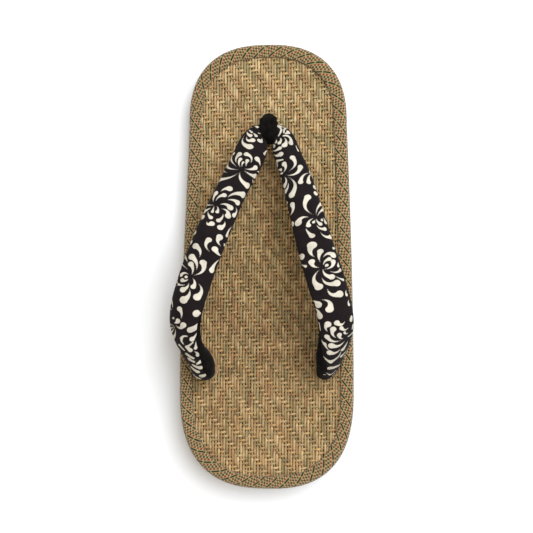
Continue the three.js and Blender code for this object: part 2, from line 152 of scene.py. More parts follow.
PRINT_LEFT = (
    (6.2, 4, 0.65, 7.6, 8.4, 0.3, 0.3),
    (10.2, 2.9, 0.6, 9.8, 5.6, 0, 0.3),
    (12.2, 2, 1, 10.6, 6.4, -0.5),
    (14.6, -0.3, 1.45, 13.4, 3.6, -1.4),
    (19.2, -0.2, 1.9, 13, 5.6, -2),
    (10.9, -0.5, 0.95, 10.2, 1.5, 0.1, 0.3),
    (12.9, -3.6, 1.6, 9.6, -3.8, 0.4),
    (8.4, -0.4, 0.35, 7.7, -1.7, 0),
    (19.4, -7.9, 0.95, 16.2, -9.7, -0.5, 0.35),
    # first spray
    (24.4, -0.2, 1.3, 28.3, -3.3, -1.2),
    (25.2, 3.1, 1.5, 31.2, 2.6, 1),
    (28.2, 1.5, 1, 32.9, 0.1, 0.7),
    (29.7, -0.3, 0.6, 32.4, -0.6, 0.2),
    (28, -1.7, 0.9, 31.4, -2.2, 0.2),
    (25, -5.3, 1.4, 27.3, -8.2, -0.3),
    (29.6, -6.2, 1.3, 33.1, -2.2, -0.6),
    (33.6, -8.6, 1.6, 34.3, -2.4, -0.6),
    (41, -7, 1.9, 35.6, -0.9, -1.9),
    (43, 8.5, 1.5, 36.8, -0.3, 1.8),
    (33, 8.8, 1.3, 34.8, 0.3, 1.6),
    (27.3, 8.6, 1.2, 33.2, 1.9, 0.6),
    (37, 9.6, 0.7, 38.3, 4.9, 0.2),
    (25, 7.6, 1.3, 24, 10.3, 0),
    (29.9, -9.9, 0.6, 30.6, -8, 0),
    (36.7, -9.6, 0.7, 36.2, -8, 0),
    # second spray
    (47.2, 0.1, 1.6, 50.3, 3.3, 0.6),
    (51.9, 1, 1.3, 56.4, 3.4, 0.8),
    (52, 5.7, 1.6, 57.5, 4.4, 0.6),
    (47, -7.2, 2, 52.6, -0.8, 1.4),
    (52.8, -6.2, 1.6, 53.9, -1.3, 0.7),
    (57.4, -3.8, 1.6, 58, 0.9, 1),
    (62.3, -4.4, 1.6, 59.9, -0.6, 1.3),
    (62.4, 0.6, 0.9, 59.2, 1.9, 0.5),
    (63.1, 2.7, 0.8, 59.8, 3, 0),
    (59.5, 9.5, 0.7, 59.3, 3.6, 0.2),
    (63.5, 8, 1.5, 61.2, 4.5, 0.3),
    (60.3, -7.2, 1.4, 55.7, -6.1, 1.2),
    (66.6, 2.2, 1.1, 63.6, 5, -0.4),
    (69.8, 0.6, 1.4, 69.2, 3.2, -1.3),
    (66.9, -1.4, 1.1, 62.3, -2, 0.6),
    (70.2, -3.3, 1.5, 66, -4, 0.8),
    # buds between
    (67.3, 7, 1.5, 66, 10.2, 0.3),
    (76.9, 8.2, 1.5, 75.6, 10.5, 0),
    (82.6, 8.2, 1.5, 81.4, 10.5, 0),
    (79, -1, 1.4, 85.1, -3.1, 1.4),
    (84.3, 3.6, 1.8, 89.5, -0.1, -1.2),
    (75.4, -4.8, 1.7, 79.8, -7, 1.3),
    (78, -9.4, 0.9, 77.6, -8.2, 0),
    (82.8, -4.9, 1.7, 84.4, -10.2, 0.9),
    (72.6, -8.2, 1.1, 66.2, -9.3, -0.8),
    (94.2, -7.2, 1.7, 86.8, -9.6, -0.8),
    # third spray
    (90.6, 3.3, 1.8, 96.8, -0.7, -1.2),
    (94.5, 2.4, 1.4, 99.6, 0.4, -0.7),
    (92, -2.3, 1.6, 99.9, -0.3, -2),
    (105.8, -1.8, 1.2, 101.4, -0.3, 0.8),
    (110.3, -4.8, 1.9, 103.3, -3.3, 1.7),
    (108.7, 2.1, 1.5, 104.6, 0.4, 0.7),
    (113.4, 0.3, 1.9, 107.6, -0.8, 1),
    (101.8, 2.5, 0.8, 101.4, 1.9, 0),
    (101.3, 5.6, 1.2, 100.2, 1.7, -0.9),
    (104, 3.9, 1.2, 102.7, 1.3, 0.6),
    (106.6, 5.4, 0.7, 106, 1.9, 0.3),
    (104.4, 9.3, 1.6, 106.3, 6, 0.3),
    (95.4, 9, 0.6, 98, 2.5, -0.3),
    (90.6, 9.5, 1.2, 94.4, 4, -0.6),
    (98.2, 9, 1.2, 98.4, 7.6, 0),
    (107.7, 9.8, 0.6, 107.5, 7, 0),
    # fourth spray
    (118.1, 1.1, 1.3, 122.4, -0.5, -0.6),
    (123.9, 0.8, 1.2, 125.2, 2.6, -0.4),
    (125.2, -1.8, 1.4, 126.2, 1.6, -1.2),
    (118.6, -6.6, 2, 118.2, -9.8, 0),
    (127.2, -4.9, 1.5, 125.2, -8.8, 0.2, 1.4),
    (115.7, 8.6, 1.5, 118.7, 5.1, -0.8),
    (119.3, 9.8, 0.9, 119.7, 5.2, 0.2),
    (123.3, 3.3, 0.6, 123.5, 4.3, 0),
    (127.3, 8.3, 0.7, 126.6, 3, 0.2),
    (129.6, 7.8, 0.8, 127, 2.6, 0.4),
    (132, 7.3, 0.9, 127.4, 2.3, 0.6),
    (134.8, 6, 1.7, 127.9, 1.8, 1.2),
    # drops, a hook and an arrow beside the seam
    (132, -5.9, 1.35, 129, -8.4, 0.3),
    (132, -1, 0.8, 130.4, -3.6, -0.7, 0.3),
    (132, -1, 0.8, 134.8, -1.8, 0.4, 0.3),
    (138, -4.8, 1.25, 136.3, -3.2, 0, 0.85),
    (136.3, -3.2, 0.8, 133.8, -6.2, 0, 0.35),
    (137.1, -7.4, 1, 133.8, -7.7, 0),
    (141, -8.2, 1.05, 138.9, -6.7, 0.3),
    (136.6, 0.6, 0.8, 138.8, -1.8, 0, 0.4),
    # fan of bars above the rear hole
    (145, -9.3, 0.9, 145.9, -7.6, 0, 0.5),
    (141, -2.9, 0.95, 142.6, -6, 0, 0.6),
    (144, -4, 1.2, 144.9, -6.2, 0, 0.6),
    (148.3, -8.7, 1.05, 147, -5.6, 0, 0.5),
    (150.9, -7.4, 1.05, 149.5, -4.9, 0, 0.75),
    (154, -9, 1.35, 153, -10.4, 0.2, 0.5),
    (157, -7.4, 1.25, 156.2, -5.4, 0, 0.95),
    (151.2, -2.1, 0.7, 154.4, -3.5, 0, 0.4),
    # outer side, toward the rear hole
    (140.4, 9.6, 1.1, 143.7, 5.4, -0.6),
    (141.2, 2.2, 1.4, 145.4, 0.2, 0.7),
    (148.8, 7.2, 1.2, 148, 2.4, -0.6),
    (153.6, 6.2, 1.4, 150.4, 1, 0.8),
    (156.4, 9.6, 1.2, 160.2, 6.6, -0.5),
    (160.4, 1.8, 1.5, 154.8, -0.6, -0.8),
    (164.6, 6, 1.2, 161, 3.6, 0.5),
    (168.4, 1.6, 1.3, 164, -0.8, -0.6),
    (163.6, -4.4, 1.1, 160.4, -2.6, 0.3),
)

PRINT_RIGHT = (
    (4.3, 4.9, 0.95, 9, -2.4, 0.3, 0.45),
    (4.3, 5.1, 0.85, 4.8, 9.6, 0, 0.6),
    (5, 5.1, 0.8, 6.6, 6.2, 0, 0.3),
    (7.5, 8.1, 0.65, 9, 1.1, -1, 0.4),
    (9.6, 4.8, 1.3, 9.9, 1.6, 0.2, 0.4),
    (16.3, 2.2, 1.6, 11, -0.2, -2, 0.5),
    (17.4, -1.4, 1.5, 12.4, -0.5, -0.8),
    (15, -3.5, 1.1, 11.3, -2.4, -0.6),
    (13.5, -5.2, 0.9, 10.4, -4.5, -0.2),
    (15.3, -7, 1.1, 12.6, -8, 0),
    (18.4, -4, 1.25, 16.4, -9, 1),
    (22.4, -4.2, 1.5, 19.2, -9.2, 1.1),
    (26.8, -9, 1.2, 24.8, -8.2, 0, 0.85),
    (24.8, -8.1, 0.85, 26, -3.8, 0, 0.35),
    (21.4, 5.8, 0.8, 18.2, 5.4, 0.2, 0.3),
    # first spray
    (26.3, 0.9, 1.5, 34.1, -2.8, 2.2),
    (33.2, 3.2, 1.5, 35.2, -4.8, 2.6),
    (28.6, -3.8, 1.4, 33.1, -5.6, 1.2),
    (43.2, 4.8, 1.4, 38, 9.3, 1.2),
    (42.4, 0.9, 1.3, 37.5, 7.3, 1.5),
    (48.2, -4.7, 1.8, 37.3, -3.6, -2.4),
    (40.8, -7.6, 1.5, 35.8, -5.6, -1.3),
    (44.2, -8, 1.4, 40.6, -4.7, -0.9),
    (30.8, -6.6, 0.9, 28.9, -10.4, 0),
    (33, -6.6, 0.7, 31.8, -10.4, 0),
    (35.3, -9.4, 1, 35, -10.4, 0),
    (36.6, 8.9, 1.1, 35, 10.5, 0),
    (46.4, 8, 1.5, 45.4, 10.4, 0),
    (50.4, 6.9, 1.5, 50.6, 10.2, 0),
    # second spray
    (52.3, 1.9, 1.7, 63.1, 1.9, -2.4),
    (56.8, 8.8, 1.2, 63.4, 3.1, -1.2),
    (60.4, 8.8, 1, 64, 3.7, -0.6),
    (53.7, -5.7, 1.5, 58.9, -9.9, 1.8),
    (50.7, -9.3, 0.9, 50.4, -10.4, 0),
    (65.3, -5.2, 1.9, 63.9, -0.3, 1.4),
    (68.2, 7.4, 1.3, 65.4, 6.8, 0),
    (66.9, 5.2, 0.8, 66, 5.6, 0),
    (69.1, 3.7, 1.1, 66, 2.5, 0.3),
    (72.3, 5.2, 1.2, 69.4, 2, 1),
    (77.1, 7.6, 1.5, 73.8, 2.6, 1.5),
    (68.6, -1.3, 1.1, 65.2, 1.3, 0.9),
    (67.4, 1, 0.7, 66.4, 1.9, 0),
    (74.8, -1.1, 1.3, 70.2, -2.6, 0.3),
    (64.2, -8.8, 1.6, 64, -10.4, 0),
    # third spray
    (79.9, -2.2, 2.1, 86.4, -2.7, -1.1),
    (84.3, 0.2, 1.4, 89.9, -1.3, -0.5),
    (88.5, -4.2, 1.4, 92.7, -2.3, -0.9),
    (87.9, 5.3, 1.8, 87.9, 0.5, -1.4),
    (89.6, 2.6, 1.1, 91.7, -0.4, -0.6),
    (91.4, 4, 1.3, 94.3, -0.3, 1.2),
    (92.5, 0.8, 0.8, 93.1, 0, 0),
    (84, 7, 0.9, 83.6, 9.8, 0),
    (94.2, 5.9, 0.8, 92.2, 6.6, 0),
    (96.4, 6.4, 0.9, 95.9, 1.1, 1.1),
    (101.9, 6.2, 0.8, 99.2, 2.8, 0.3),
    (99.1, 1.2, 1.5, 94.3, -1.2, 1),
    (102.9, 2.5, 1.8, 98.2, -2.4, 1.9),
    (102.4, -4.6, 1.8, 93.9, -2.4, 2),
    (108.6, 2.2, 1.8, 104.7, -1.8, 1.7),
    # buds between
    (114.6, -3.2, 1.7, 109.1, -5.2, -1.7),
    (109.8, 5.5, 0.8, 107.5, 6.1, 0.4),
    (114.6, 5.5, 0.8, 112.4, 6, 0.4),
    (83.8, -7.8, 1.8, 81.8, -10.4, 0),
    (89.6, -7.2, 0.8, 86.9, -10.4, 0),
    (111.2, -7.2, 1.9, 108.4, -9.8, -0.5),
    (117, -8.3, 2, 112.6, -9.9, -0.9),
    # fourth spray
    (121, -9.7, 0.6, 125, -9.6, 0, 0.4),
    (121.6, -5.2, 1.5, 125.2, -5.8, -0.9),
    (124.2, -3.5, 1.3, 128.4, -2.7, -0.9),
    (121.6, -1.7, 1.25, 121.9, 1.6, -1.1),
    (124.4, -0.2, 0.95, 125.2, 2.9, -0.8),
    (122, 5.2, 1.15, 121, 5.8, 0, 0.9),
    (125.4, 6.6, 0.95, 126.4, 5.8, 0, 0.6),
    (126.8, 1, 0.6, 127.4, 2.7, -0.5),
    (127.3, -1.3, 1.1, 129.6, 0.2, -0.6),
    (128.8, 6.6, 0.4, 129.4, 2.8, 0, 0.3),
    # smiles that hang from one point, down to the rear hole
    (127.9, -6.3, 1.3, 130.1, -1, -1.1),
    (132.4, -4.7, 1.5, 131, 0.8, -1.2),
    (136.2, -5.6, 1.4, 134.9, -1.1, -1.2),
    (141.8, -5.5, 1.1, 138.5, -8.4, 0.2),
    (141.6, -5.3, 1.1, 136, -0.9, -1.4),
    (146.8, -6.3, 1.5, 150, -1, 0, 0.7),
    (131.9, -7.5, 0.9, 130.3, -9.1, 0.2),
    (131.9, -7.5, 0.9, 134.8, -5.8, -0.2),
    (136.2, 0.1, 1.1, 132, 2.6, -0.2),
    (140.8, -0.4, 1.1, 138.8, 2.7, -0.1),
    (154.8, -6.1, 0.8, 151, -8.3, 0),
    (154.8, -6.1, 0.8, 153, -2.8, 0),
    (154.2, -10.2, 0.5, 153.6, -8.6, 0, 0.3),
    # outer side, toward the rear hole
    (130.8, 9.4, 1, 128.8, 5.4, 0.4),
    (134.6, 8.8, 1.1, 131.4, 4.8, 0.5),
    (138.8, 7.8, 1.2, 134.8, 4.4, 0.5),
    (144, 2.6, 1.4, 141.6, 5.8, 0.5),
    (144.4, 9.4, 1, 141.6, 8.8, 0),
    (149.2, 5.4, 1.4, 145.6, 8, 0.6),
    (153.6, 1.8, 1.5, 151.4, 6.2, 0.7),
    (157.6, 7.2, 1.2, 154.4, 9.4, 0.4),
    (160.2, 2.2, 1.5, 157.4, 5.8, 0.6),
    (160.6, -3.6, 1.4, 157.8, -0.8, 0.5),
    (166.4, 4.4, 1.2, 163.8, 7.4, 0.4),
    (167.2, -1, 1.3, 164, 2.4, 0.5),
)


# ---- Settings ----------------------------------------------------------------------------------


def cloth_color(name, description, color):
    """A colour setting, given as red, green and blue from 0 to 255."""
    share = [channel / 255 for channel in color]
    return FloatVectorProperty(
        name=name, description=description, default=share, size=3, subtype="COLOR_GAMMA", min=0, max=1
    )


def length_setting(name, description, millimetres):
    """A length setting in metres, given in millimetres."""
    return FloatProperty(
        name=name, description=description, default=millimetres * MM, unit="LENGTH", min=0
    )


class SoleSettings(bpy.types.PropertyGroup):
    rubber: cloth_color("Rubber", "Colour of the outsole", (58, 53, 49))
    foam: cloth_color("Foam", "Colour of the foam wedge", (43, 39, 37))


class MatSettings(bpy.types.PropertyGroup):
    strand_pitch: length_setting("Strand pitch", "Distance between lengthwise strands", 1.64)
    weft_pitch: length_setting("Weft pitch", "Distance between crosswise wefts", 2.26)
    straw: cloth_color("Straw", "Palest strands", (224, 194, 142))
    tan: cloth_color("Tan", "Middle strands", (200, 164, 112))
    olive: cloth_color("Olive", "Green strands", (168, 150, 102))
    russet: cloth_color("Russet", "Red-brown strands", (184, 142, 96))
    gold: cloth_color("Gold", "Golden wefts", (214, 176, 114))
    seed: IntProperty(name="Seed", description="Picks the natural variation", default=7, min=0)


class TapeSettings(bpy.types.PropertyGroup):
    stripe_repeat: length_setting("Stripe repeat", "One full set of stripes, square to them", 5.4)
    ground: cloth_color("Ground", "Beige between the stripes", (146, 124, 68))
    edge: cloth_color("Edge", "Pale yellow beside the dark line", (196, 178, 116))
    speckle: cloth_color("Speckle", "Pale yarn between the dots", (190, 166, 122))
    green: cloth_color("Green", "Dark green line", (30, 36, 22))
    # The lip colour is a painted highlight: a pale line along the tape's folded edge next to the mat.
    lip: cloth_color("Lip highlight", "Woven edge next to the mat", (158, 150, 136))
    red: cloth_color("Red", "Rust-red dotted line", (140, 52, 34))
    moss: cloth_color("Moss", "Moss-green dotted line", (46, 64, 28))
    brown: cloth_color("Brown", "Brown dotted line", (116, 62, 36))


class StrapSettings(bpy.types.PropertyGroup):
    cloth: cloth_color("Cloth", "Ground of the printed cloth", (31, 24, 25))
    petals: cloth_color("Petals", "The printed petals", (216, 208, 190))
    velour: cloth_color("Velour", "Lining and loop", (22, 20, 18))


class StageSettings(bpy.types.PropertyGroup):
    floor: cloth_color("Floor", "Plain pale floor", (245, 245, 244))
    camera_height: length_setting("Camera height", "Camera above the floor", 544)
    angle_of_view: FloatProperty(
        name="Angle of view",
        description="Angle of view across the picture",
        default=math.radians(33.3),
        subtype="ANGLE",
        unit="ROTATION",
    )
    sun_power: FloatProperty(
        name="Key light", description="Power of the large soft light", default=25, unit="POWER"
    )
    sky: FloatProperty(name="Sky", description="Strength of the even light", default=0.58, min=0)


SETTINGS = {
    "zori_sole": SoleSettings,
    "zori_mat": MatSettings,
    "zori_tape": TapeSettings,
    "zori_strap": StrapSettings,
    "zori_stage": StageSettings,
}


# ---- Shape functions ---------------------------------------------------------------------------


def smoothstep(value, low, high):
    run = np.clip((value - low) / (high - low), 0, 1)
    return run * run * (3 - 2 * run)


def side_half_width(along):
    run = np.clip((along - TOE_END) / (LENGTH - TOE_END - HEEL_END), 0, 1)
    return TOE_HALF_WIDTH + (HEEL_HALF_WIDTH - TOE_HALF_WIDTH) * (1 - (1 - run) ** FLARE_POWER)


def spring_rise(along):
    return TOE_SPRING * np.clip(1 - along / SPRING_START, 0, 1) ** 2


def sole_bottom(along):
    arch_run = np.clip((along - ARCH_FRONT) / (ARCH_BACK - ARCH_FRONT), 0, 1)
    arch = ARCH_RISE * np.sin(math.pi * arch_run) ** 2
    lift = HEEL_LIFT * np.clip((along - LIFT_START) / (LENGTH - LIFT_START), 0, 1) ** 2
    return spring_rise(along) + arch + lift


def sole_top(along):
    wedge = smoothstep(along, WEDGE_FRONT, WEDGE_BACK)
    return spring_rise(along) + TOE_THICKNESS + (HEEL_THICKNESS - TOE_THICKNESS) * wedge


def half_outline(run, inset):
    """(along, side) of points on one side. run goes 0 to 1 round the toe, 1 to 2 down the side
    and 2 to 3 round the heel."""
    heel_start = LENGTH - HEEL_END
    toe_angle = np.clip(run, 0, 1) * math.pi / 2
    heel_angle = np.clip(3 - run, 0, 1) * math.pi / 2
    toe_along = TOE_END - (TOE_END - inset) * np.cos(toe_angle) ** (2 / TOE_ROUNDNESS)
    toe_side = (TOE_HALF_WIDTH - inset) * np.sin(toe_angle) ** (2 / TOE_ROUNDNESS)
    side_along = TOE_END + (heel_start - TOE_END) * np.clip(run - 1, 0, 1)
    side_side = side_half_width(side_along) - inset
    heel_along = heel_start + (HEEL_END - inset) * np.cos(heel_angle) ** (2 / HEEL_ROUNDNESS)
    heel_side = (HEEL_HALF_WIDTH - inset) * np.sin(heel_angle) ** (2 / HEEL_ROUNDNESS)
    along = np.where(run < 1, toe_along, np.where(run < 2, side_along, heel_along))
    side = np.where(run < 1, toe_side, np.where(run < 2, side_side, heel_side))
    return along, side


def even_runs(count, inset=0):
    """Runs down one side at even distances along the edge, and the edge's length."""
    dense = np.linspace(0, 3, 6001)
    along, side = half_outline(dense, inset)
    walked = np.concatenate([[0], np.cumsum(np.hypot(np.diff(along), np.diff(side)))])
    return np.interp(np.linspace(0, walked[-1], count), walked, dense), walked[-1]


def place(along, side, height):
    """Points in millimetres from distances along, to the side and above the floor."""
    return np.stack(np.broadcast_arrays(side, along - LENGTH / 2, height), axis=-1)


def spline(rows, steps):
    """A smooth path through rows of numbers, with a share of steps between each two."""
    points = np.array(rows, float)
    ends = np.vstack([2 * points[0] - points[1], points, 2 * points[-1] - points[-2]])
    share = (np.arange(steps) / steps)[:, None]
    spans = []
    for before, start, end, after in zip(ends, ends[1:], ends[2:], ends[3:]):
        gaps = [np.sqrt(np.linalg.norm(b - a)) for a, b in ((before, start), (start, end), (end, after))]
        middle = gaps[1] if gaps[1] > 1e-2 else 1
        first = gaps[0] if gaps[0] > 1e-2 else middle
        last = gaps[2] if gaps[2] > 1e-2 else middle
        leave = (start - before) / first - (end - before) / (first + middle) + (end - start) / middle
        arrive = (end - start) / middle - (after - start) / (middle + last) + (after - end) / last
        leave, arrive = leave * middle, arrive * middle
        square = -3 * start + 3 * end - 2 * leave - arrive
        cube = 2 * start - 2 * end + leave + arrive
        spans.append(start + leave * share + square * share**2 + cube * share**3)
    return np.vstack(spans + [points[-1:]])


def unit(vectors):
    return vectors / np.linalg.norm(vectors, axis=-1, keepdims=True)


def ripple(position, waves, seed):
    """Smooth made-up unevenness between about -1 and 1 along a position, from a few sine waves."""
    dice = np.random.default_rng(seed)
    total = np.zeros_like(np.asarray(position, float))
    for length in waves:
        total += np.sin(2 * math.pi * position / length + dice.uniform(0, 2 * math.pi))
    return total / len(waves)


# ---- Mesh functions ----------------------------------------------------------------------------


def set_smooth(mesh, smooth):
    mesh.polygons.foreach_set("use_smooth", [smooth] * len(mesh.polygons))


def new_object(name, points, faces):
    """A mesh object in the scene, from points in millimetres."""
    mesh = bpy.data.meshes.new(name)
    mesh.from_pydata((np.asarray(points) * MM).tolist(), [], faces)
    mesh.update()
    set_smooth(mesh, True)
    made = bpy.data.objects.new(name, mesh)
    bpy.context.scene.collection.objects.link(made)
    return made


def grid_faces(rows, columns, close_rows=False):
    """Quads between neighbours of a grid of closed rings, as an array of point numbers."""
    row = np.arange(rows if close_rows else rows - 1)[:, None]
    column = np.arange(columns)[None, :]
    next_row = (row + 1) % rows
    next_column = (column + 1) % columns
    corners = [
        row * columns + column,
        row * columns + next_column,
        next_row * columns + next_column,
        next_row * columns + column,
    ]
    return np.stack(np.broadcast_arrays(*corners), axis=-1).reshape(-1, 4)


def end_caps(rows, columns):
    """Strips of quads that close the first and last rings of a grid of even rings."""
    last = (rows - 1) * columns
    quads = []
    for k in range(columns // 2 - 1):
        mirror = columns - 1 - k
        quads.append((k, mirror, mirror - 1, k + 1))
        quads.append((last + k, last + k + 1, last + mirror - 1, last + mirror))
    return quads


def grid_object(name, points, close_rows=False):
    """A smooth skin over a grid of rings, closed at its ends, with its faces pointing out."""
    rows, columns = points.shape[:2]
    faces = grid_faces(rows, columns, close_rows).tolist()
    if not close_rows:
        faces += end_caps(rows, columns)
    made = new_object(name, points.reshape(-1, 3), faces)
    face_out(made)
    return made


def signed_volume(mesh):
    count = len(mesh.vertices)
    places = np.empty(count * 3)
    mesh.vertices.foreach_get("co", places)
    places = places.reshape(-1, 3)
    mesh.calc_loop_triangles()
    corners = np.empty(len(mesh.loop_triangles) * 3, int)
    mesh.loop_triangles.foreach_get("vertices", corners)
    a, b, c = places[corners.reshape(-1, 3)].transpose(1, 0, 2)
    return np.einsum("ij,ij->", a, np.cross(b, c)) / 6


def face_out(made):
    if signed_volume(made.data) < 0:
        made.data.flip_normals()


def set_number(made, name, values):
    """Stores one number for each point, for the material to read."""
    layer = made.data.attributes.new(name, "FLOAT", "POINT")
    layer.data.foreach_set("value", np.asarray(values, np.float32).ravel())


def set_map(made, points_map):
    """Gives the mesh a UV map from one (u, v) pair for each point."""
    loops = np.empty(len(made.data.loops), int)
    made.data.loops.foreach_get("vertex_index", loops)
    layer = made.data.uv_layers.new(name="UVMap")
    layer.data.foreach_set("uv", np.asarray(points_map, np.float32).reshape(-1, 2)[loops].ravel())


def dress(made, material, slot, *nodes):
    """Gives a piece its material, hangs it on the body and hides the imported parts that it takes the
    place of.
    """
    made.data.materials.append(material)
    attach(made, BODY)
    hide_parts(*nodes)


# ---- Material functions ------------------------------------------------------------------------


def linear(color):
    """Display red, green and blue as linear light, with alpha."""
    channels = [c / 12.92 if c <= 0.04045 else ((c + 0.055) / 1.055) ** 2.4 for c in color]
    return (*channels, 1)


def start_material(name, roughness, specular=0.3, sheen=0.0, sheen_roughness=0.5):
    """A new material, with its node tree and its main shader."""
    material = bpy.data.materials.new(name)
    material.use_nodes = True
    tree = material.node_tree
    shader = tree.nodes["Principled BSDF"]
    shader.inputs["Roughness"].default_value = roughness
    shader.inputs["Specular IOR Level"].default_value = specular
    shader.inputs["Sheen Weight"].default_value = sheen
    shader.inputs["Sheen Roughness"].default_value = sheen_roughness
    return material, tree, shader


def add(tree, kind, sockets=None, **settings):
    """A node with its settings, and its input sockets set to numbers or linked to outputs."""
    made = tree.nodes.new(kind)
    for key, value in settings.items():
        setattr(made, key, value)
    for key, value in (sockets or {}).items():
        if isinstance(value, bpy.types.NodeSocket):
            tree.links.new(value, made.inputs[key])
        else:
            made.inputs[key].default_value = value
    return made


def math_node(tree, operation, first, second=0.0, third=0.0):
    made = add(tree, "ShaderNodeMath", {0: first, 1: second, 2: third}, operation=operation)
    return made.outputs[0]


def read_number(tree, name):
    return add(tree, "ShaderNodeAttribute", attribute_name=name).outputs["Fac"]


def wave(tree, position, length, shift=0.0):
    """A sine wave along a position, shifted by an angle."""
    turned = math_node(tree, "MULTIPLY_ADD", position, 2 * math.pi / length, shift)
    return math_node(tree, "SINE", turned)


def coordinates(tree, kind):
    """The separate numbers of a place, in the object's own space or on its UV map."""
    joined = add(tree, "ShaderNodeTexCoord").outputs[kind]
    return add(tree, "ShaderNodeSeparateXYZ", {0: joined}).outputs


def noise(tree, scale, detail=3, roughness=0.55, stretch=(1, 1, 1)):
    """Noise in the object's own space, optionally stretched. Scale counts per metre."""
    vector = add(tree, "ShaderNodeTexCoord").outputs["Object"]
    mapping = add(tree, "ShaderNodeMapping", {"Vector": vector, "Scale": stretch})
    made = add(
        tree,
        "ShaderNodeTexNoise",
        {"Vector": mapping.outputs[0], "Scale": scale, "Detail": detail, "Roughness": roughness},
    )
    return made.outputs["Fac"]


def ramp(tree, factor, stops):
    """A colour ramp from (position, display colour) stops."""
    made = add(tree, "ShaderNodeValToRGB", {0: factor})
    elements = made.color_ramp.elements
    while len(elements) < len(stops):
        elements.new(1)
    for element, (position, color) in zip(elements, stops):
        element.position = position
        element.color = linear(color)
    return made.outputs["Color"]


def mix(tree, factor, first, second, blend="MIX"):
    made = add(tree, "ShaderNodeMix", data_type="RGBA", blend_type=blend)
    for index, value in ((0, factor), (6, first), (7, second)):
        if isinstance(value, bpy.types.NodeSocket):
            tree.links.new(value, made.inputs[index])
        elif index == 0:
            made.inputs[index].default_value = value
        else:
            made.inputs[index].default_value = linear(value)
    return made.outputs[2]


def grey(tree, factor, dark, light, low=0.0, high=1.0):
    """A grey that goes from dark to light as the factor goes from low to high."""
    sockets = {"Value": factor, "From Min": low, "From Max": high, "To Min": dark, "To Max": light}
    return add(tree, "ShaderNodeMapRange", sockets).outputs[0]


def mottled(tree, pattern, color, dark, light=1.0, low=0.3, high=0.7):
    """A colour that goes from a darker to a lighter shade of itself with a pattern."""
    shades = [[min(channel * share, 1) for channel in color] for share in (dark, light)]
    return ramp(tree, pattern, list(zip((low, high), shades)))


def grey_step(tree, pattern, low, high, start, end):
    """Greys that go from start at one value of a pattern to end at another."""
    return ramp(tree, pattern, [(low, (start,) * 3), (high, (end,) * 3)])


def bump(tree, shader, height, depth):
    """Bump of a real depth in metres."""
    made = add(tree, "ShaderNodeBump", {"Height": height, "Distance": depth, "Strength": 1.0})
    tree.links.new(made.outputs[0], shader.inputs["Normal"])


def paint(tree, shader, color):
    tree.links.new(color, shader.inputs["Base Color"])


# ---- Sole --------------------------------------------------------------------------------------


def cross_rings(runs, rows):
    """Rings across the sandal, one for each run, through rows of (inset, surface, above) from the
    bottom face up. A surface gives its height at each distance along."""
    sides = []
    for inset, surface, above in rows:
        along, side = half_outline(runs, inset)
        sides.append(place(along, side, surface(along) + above))
    half = np.stack(sides, axis=1)
    other = half[:, ::-1] * np.array([-1, 1, 1])
    return np.concatenate([half, other], axis=1)


def groove_depths(runs):
    """How deep each ring's bottom face is cut by the grooves across the tread."""
    along, _ = half_outline(runs, 0)
    phase = np.abs((along / GROOVE_PITCH) % 1 - 0.5) * GROOVE_PITCH
    inside = smoothstep(-phase, -GROOVE_WIDTH / 2 - 0.15, -GROOVE_WIDTH / 2 + 0.15)
    return GROOVE_DEPTH * inside


def tread_runs():
    """Runs for the outsole, close together at the groove walls."""
    wall = GROOVE_WIDTH / 2
    offsets = (-wall - 0.2, -wall + 0.2, 0, wall - 0.2, wall + 0.2, GROOVE_PITCH / 2)
    count = int(LENGTH // GROOVE_PITCH)
    wanted = [(i + 0.5) * GROOVE_PITCH + step for i in range(count) for step in offsets]
    dense = np.linspace(0, 3, 12001)
    along, _ = half_outline(dense, 0)
    tips = [0.05, 0.12, 0.25, 0.5, 1, 1.8]
    wanted += tips + [LENGTH - tip for tip in tips]
    return np.interp(sorted(set(wanted)), along, dense)


def build_outsole():
    """The outsole, with flat shading so that its groove edges stay sharp."""
    runs = tread_runs()
    top = OUTSOLE_THICKNESS
    edge = [(12, 0), (0.7, 0), (0.25, 0.2), (0, 0.7), (0, top - 0.3), (0.3, top), (12, top)]
    rows = [(OUTSOLE_INSET + inset, sole_bottom, above) for inset, above in edge]
    rings = cross_rings(runs, rows)
    is_bottom = np.array([1, 1, 1, 1, 0, 0, 0])
    is_bottom = np.concatenate([is_bottom, is_bottom[::-1]])
    rings[..., 2] += groove_depths(runs)[:, None] * is_bottom
    made = grid_object("outsole_tread", rings)
    set_smooth(made.data, False)
    return made


def build_midsole():
    runs, _ = even_runs(220)

    def bottom(along):
        return sole_bottom(along) + OUTSOLE_THICKNESS + FIT_GAP / 2

    def rebate(along):
        return sole_top(along) - MAT_THICKNESS - 2 * FIT_GAP - TAPE

    def between(share):
        return lambda along: bottom(along) + (rebate(along) - bottom(along)) * share

    rows = [(14, 0), (OUTSOLE_INSET - 0.1, 0), (OUTSOLE_INSET - 0.6, 0.03)]
    rows += [(1 + 1.1 * (1 - share) ** 2, share) for share in np.linspace(0.1, 0.94, 12)]
    rows += [(1.15, 0.975), (1.7, 1), (14, 1)]
    rings = cross_rings(runs, [(inset, between(share), 0) for inset, share in rows])
    return grid_object("midsole_wedge", rings)


def rubber_material(color):
    material, tree, shader = start_material("rubber", 0.78)
    cloud = noise(tree, 60, 4)
    grain = noise(tree, 2600, 2, 0.7)
    paint(tree, shader, mottled(tree, cloud, color, 0.8, 1.25))
    tree.links.new(grey(tree, cloud, 0.66, 0.9), shader.inputs["Roughness"])
    bump(tree, shader, grain, 0.00006)
    return material


